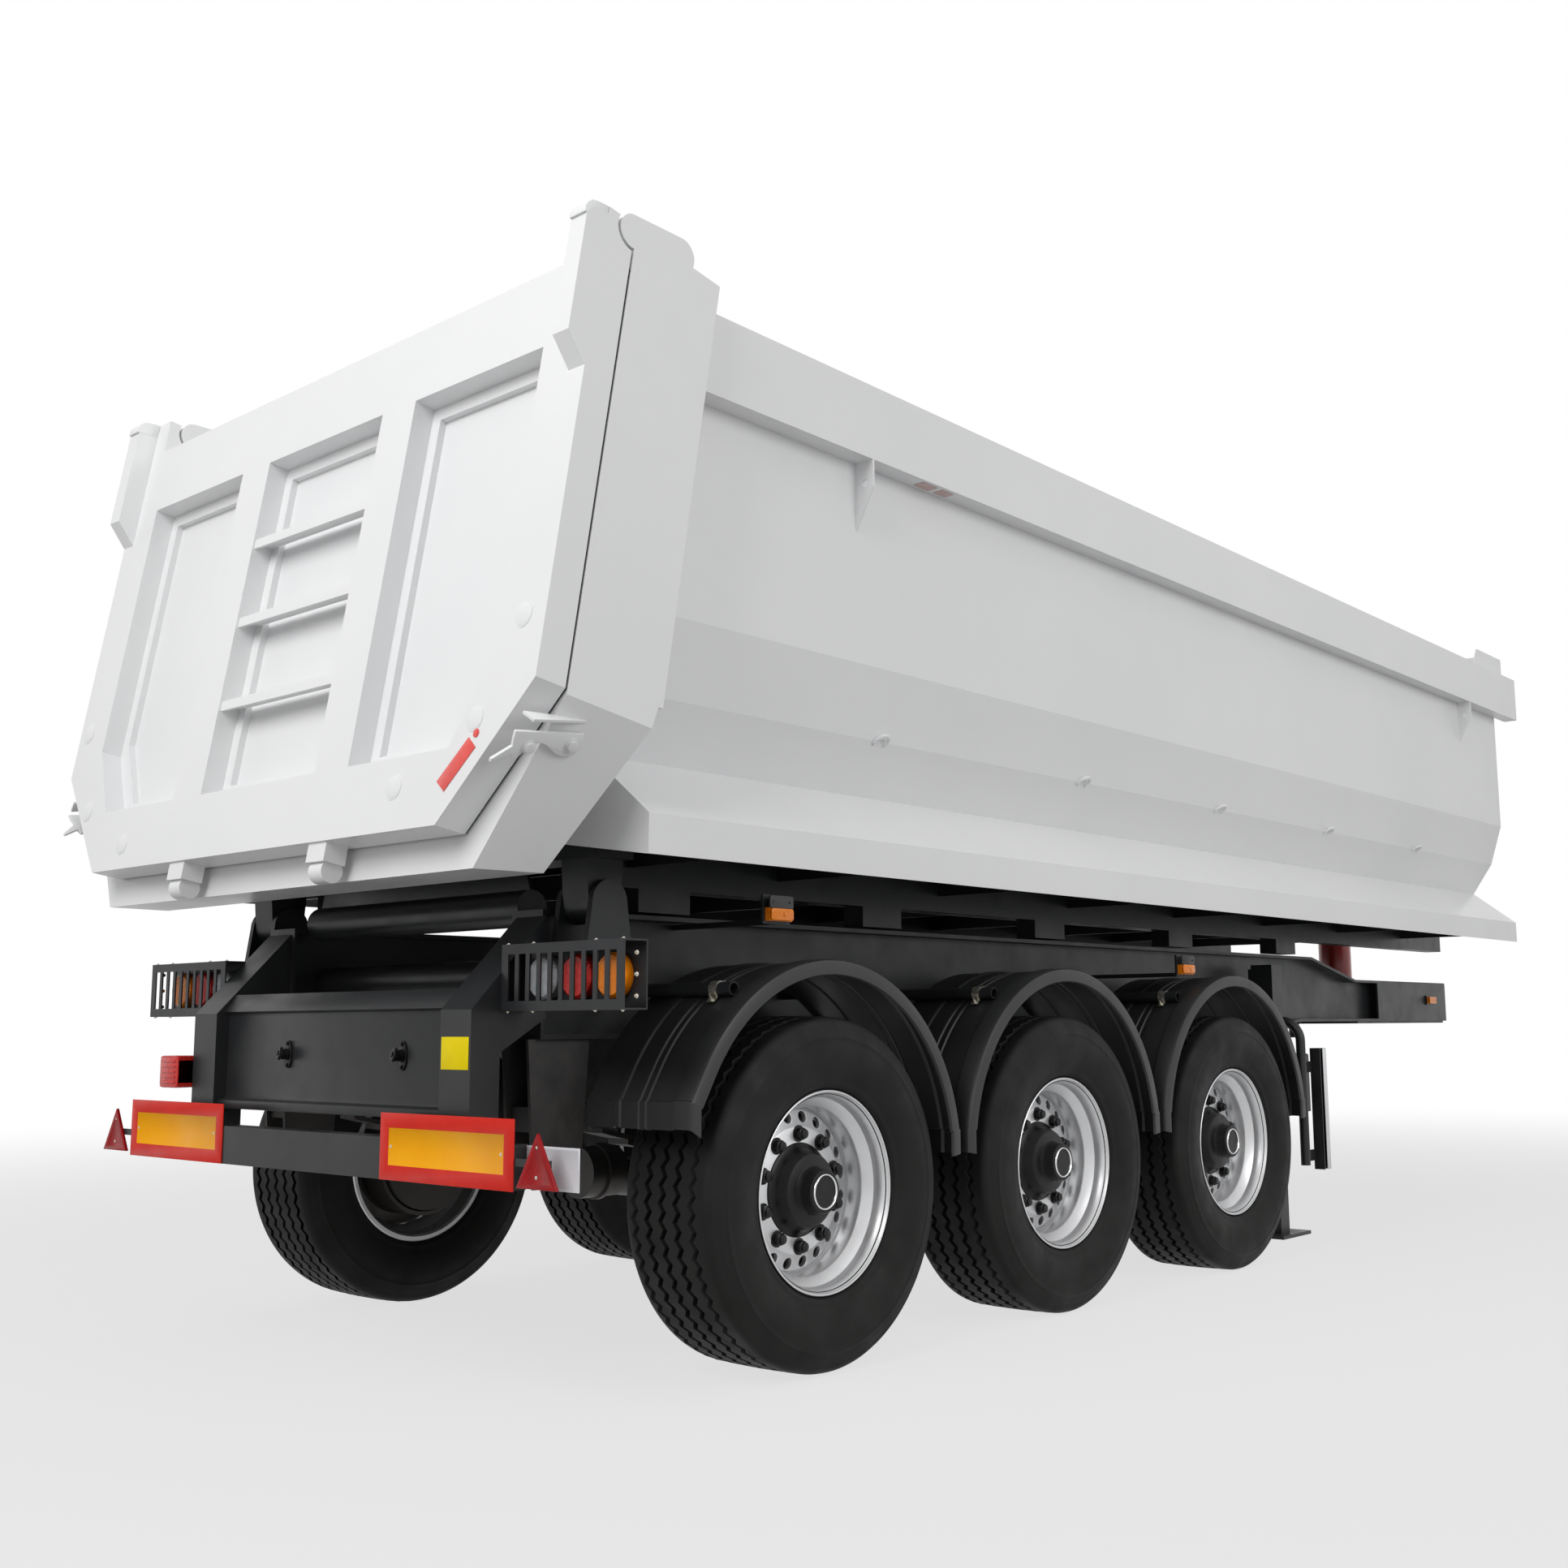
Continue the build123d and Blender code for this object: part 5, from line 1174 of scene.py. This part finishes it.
def roundedBox(halfA, halfB, corner):
    # points of a rounded rectangle, four to a corner
    points = []
    for signA, signB, first in ((1, 1, 0), (-1, 1, 90), (-1, -1, 180), (1, -1, 270)):
        for step in range(4):
            turn = math.radians(first + 30 * step)
            a, b = signA * (halfA - corner), signB * (halfB - corner)
            points.append((a + corner * math.cos(turn), b + corner * math.sin(turn)))
    return points


def buildFog(look):
    points = roundedBox(look["halfY"], look["halfZ"], look["corner"])
    front = [(look["x"], look["y"] + a, look["z"] + b) for a, b in points]
    parts = [cutPlate(front, (look["depth"], 0.0, 0.0), 0.004)]
    for number in range(look["ribs"]):
        z = look["z"] + (number - (look["ribs"] - 1) / 2) * look["ribPitch"]
        rib = [(look["x"] + 0.001, look["y"] + a, z + b) for a, b in roundedBox(0.045, 0.004, 0.0035)]
        parts.append(cutPlate(rib, (-0.0035, 0.0, 0.0), 0.001))
    return joinPieces(parts)


settle(buildFog(fogLook), "fog_lamp_lens", "lensRed", "chassis")


def buildMarker(look, x, z):
    # grey backing plate above the amber lens, and the lens's raised centre
    y, backZ = look["faceY"], z + look["backRise"]
    back = [(x + a, y - 0.0015, backZ + b) for a, b in roundedBox(*look["back"])]
    lens = [(x + a, y, z + b) for a, b in roundedBox(*look["lens"])]
    eye = knob((x + 0.012, y - 0.0035, z), (0, -1, 0), 20, ((0.011, 0.0015), (0.007, 0.001)))
    parts = [cutPlate(back, (0.0, 0.006, 0.0), 0.001)]
    for a in (-look["screwX"], look["screwX"]):
        parts.append(knob((x + a, y - 0.001, backZ), (0, -1, 0), 12, ((0.004, 0.0025),)))
    return joinPieces(parts), joinPieces([cutPlate(lens, (0.0, -0.005, 0.0), 0.0015), eye])


backs = []
fronts = []
for x, z in markerLook["places"]:
    plates, lens = buildMarker(markerLook, x, z)
    backs += [plates, mirrorSide(plates)]
    fronts += [lens, mirrorSide(lens)]
settle(joinPieces(backs), "side_marker_plates", "steelDark", "chassis")
settle(joinPieces(fronts), "side_marker_lenses", "lensAmber", "chassis")

bolts = []
for y in boltLook["topY"]:
    for z, way in boltLook["topZ"]:
        bolts.append(knob((boltLook["topX"], -y, z), (0, 0, way), 6, boltLook["head"]))
for z in boltLook["sideZ"]:
    bolts.append(knob((boltLook["sideX"], -boltLook["sideY"], z), (0, -1, 0), 6, boltLook["head"]))
rightBolts = joinPieces(bolts)
settle(mirrorSide(rightBolts), "lamp_guard_bolts_left", "zincSteel", "chassis")
settle(rightBolts, "lamp_guard_bolts_right", "zincSteel", "chassis")

# Red marker behind each post, worn tape under each rail, and a pale strip on each side guard that is a
# painted highlight for the lit side of its upright
trimLook = {
    "marker": (-3.262, -1.1525, 2.76),
    "markerSize": (0.012, 0.038, 0.006),
    "tape": (-2.12, -1.187, 2.8498),
    # start and half length of what is left of the tape
    "tapeParts": ((-0.062, 0.042), (0.040, 0.034)),
    "strip": (0.8265, -1.1905, 0.625),
    "stripWide": 0.036,
    "stripHalf": 0.274,
}


def buildTrim(look):
    x, y, z = look["marker"]
    outline = [(x + a, y, z + b) for a, b in roundedBox(*look["markerSize"])]
    marker = cutPlate(outline, (0.0, -0.008, 0.0), 0.0008)
    x, y, z = look["tape"]
    tapes = []
    for start, halfLength in look["tapeParts"]:
        outline = [(x + start + a, y + b, z) for a, b in roundedBox(halfLength, 0.022, 0.006)]
        tapes.append(cutPlate(outline, (0.0, 0.0, -0.0015), 0.0005))
    # the pale strip is painted highlight, standing for the lit side of the guard's upright
    x, y, z = look["strip"]
    spots = rectangle(x - look["stripWide"], x, z - look["stripHalf"], z + look["stripHalf"])
    strip = cutPlate([(a, y, b) for a, b in spots], (0.0, -0.003, 0.0), 0.001)
    return marker, joinPieces(tapes), strip


rightTrim = buildTrim(trimLook)
leftTrim = [mirrorSide(piece) for piece in rightTrim]
for side, (marker, tapes, strip) in (("left", leftTrim), ("right", rightTrim)):
    settle(marker, f"red_marker_{side}", "reflexRed", "bed")
    settle(tapes, f"worn_tape_{side}", "tapePink", "bed")
    settle(strip, f"guard_highlight_strip_{side}", "guardHighlight", "chassis")
print("caps, cross tube, lamps and markers fitted")


# Floor, light and camera
stageLook = {
    "floorRadius": 60.0,
    "fade": (4.0, 14.0),   # distance from the middle over which the floor whitens
    "floorColour": (0.36, 0.36, 0.36),
    "shadowShare": 0.3,
    "skyColour": (1.0, 1.0, 1.0),
    "skyStrength": 0.5,
}


def seenDirectly(tree):
    # 1 where the camera looks, also by a mirror or through glass
    rays = tree.nodes.new("ShaderNodeLightPath")
    seen = addMath(tree, "MAXIMUM", rays.outputs["Is Camera Ray"], rays.outputs["Is Glossy Ray"])
    return addMath(tree, "MAXIMUM", seen, rays.outputs["Is Transmission Ray"])


def mixShaders(tree, share, soft, white, output):
    mixed = tree.nodes.new("ShaderNodeMixShader")
    tree.links.new(share, mixed.inputs["Fac"])
    tree.links.new(soft, mixed.inputs[1])
    tree.links.new(white, mixed.inputs[2])
    tree.links.new(mixed.outputs["Shader"], tree.nodes[output].inputs["Surface"])


def buildFloor(look):
    clearSelection()
    bpy.ops.mesh.primitive_circle_add(vertices=96, radius=look["floorRadius"], fill_type="NGON")
    floor = bpy.context.object
    floor.name = "studioFloor"
    material = bpy.data.materials.new("floorPale")
    material.use_nodes = True
    tree = material.node_tree
    shader = tree.nodes["Principled BSDF"]
    shader.inputs["Base Color"].default_value = (*look["floorColour"], 1.0)
    shader.inputs["Roughness"].default_value = 0.9
    shader.inputs["Specular IOR Level"].default_value = 0.0
    white = tree.nodes.new("ShaderNodeEmission")
    white.inputs["Strength"].default_value = 1.0
    # far from the trailer the floor goes fully white, near it the shadow stays
    place = tree.nodes.new("ShaderNodeTexCoord")
    distance = tree.nodes.new("ShaderNodeVectorMath")
    distance.operation = "LENGTH"
    tree.links.new(place.outputs["Object"], distance.inputs[0])
    fade = addRange(tree, distance.outputs["Value"], look["fade"], (1.0 - look["shadowShare"], 1.0))
    fade.interpolation_type = "SMOOTHSTEP"
    share = addMath(tree, "MULTIPLY", seenDirectly(tree), fade.outputs["Result"])
    mixShaders(tree, share, shader.outputs["BSDF"], white.outputs["Emission"], "Material Output")
    floor.data.materials.append(material)


def buildSky(look):
    world = bpy.data.worlds.new("studioSky")
    bpy.context.scene.world = world
    world.use_nodes = True
    tree = world.node_tree
    soft = tree.nodes["Background"]
    soft.inputs["Color"].default_value = (*look["skyColour"], 1.0)
    soft.inputs["Strength"].default_value = look["skyStrength"]
    white = tree.nodes.new("ShaderNodeBackground")
    white.inputs["Color"].default_value = (1.0, 1.0, 1.0, 1.0)
    white.inputs["Strength"].default_value = 1.0
    outs = soft.outputs["Background"], white.outputs["Background"]
    mixShaders(tree, seenDirectly(tree), *outs, "World Output")


lamps = {
    # place, aimed at, size, watts
    "keyLamp": ((-9.5, -1.5, 6.0), (-1.5, 0.0, 1.6), 5.0, 350.0),
    "sideLamp": ((-1.0, -10.0, 5.0), (0.5, 0.0, 1.4), 6.0, 270.0),
}


def buildLamps():
    for name, (place, aim, size, watts) in lamps.items():
        data = bpy.data.lights.new(name, "AREA")
        data.shape = "DISK"
        data.size = size
        data.energy = watts
        lamp = bpy.data.objects.new(name, data)
        bpy.context.scene.collection.objects.link(lamp)
        lamp.location = place
        lamp.rotation_euler = (Vector(aim) - Vector(place)).to_track_quat("-Z", "Y").to_euler()


cameraLook = {
    "place": (-6.4832, -4.447, 1.0228),
    "yaw": 0.7085,
    "pitch": 0.138,
    "roll": -0.0062,
    "lens": 37.378,
    "shift": (-0.0314, 0.00911),
}


def buildCamera(look):
    data = bpy.data.cameras.new("photoCamera")
    data.lens = look["lens"]
    data.sensor_width = 36.0
    data.shift_x, data.shift_y = look["shift"]
    data.clip_end = 300.0
    camera = bpy.data.objects.new("photoCamera", data)
    bpy.context.scene.collection.objects.link(camera)
    turn = Matrix.Rotation(look["yaw"] - math.pi / 2, 4, "Z")
    turn = turn @ Matrix.Rotation(math.pi / 2 + look["pitch"], 4, "X")
    turn = turn @ Matrix.Rotation(look["roll"], 4, "Z")
    camera.matrix_world = Matrix.Translation(look["place"]) @ turn
    bpy.context.scene.camera = camera


buildFloor(stageLook)
buildSky(stageLook)
buildLamps()
buildCamera(cameraLook)
bpy.context.scene.view_settings.view_transform = "Standard"
print("floor, lamps and camera set")
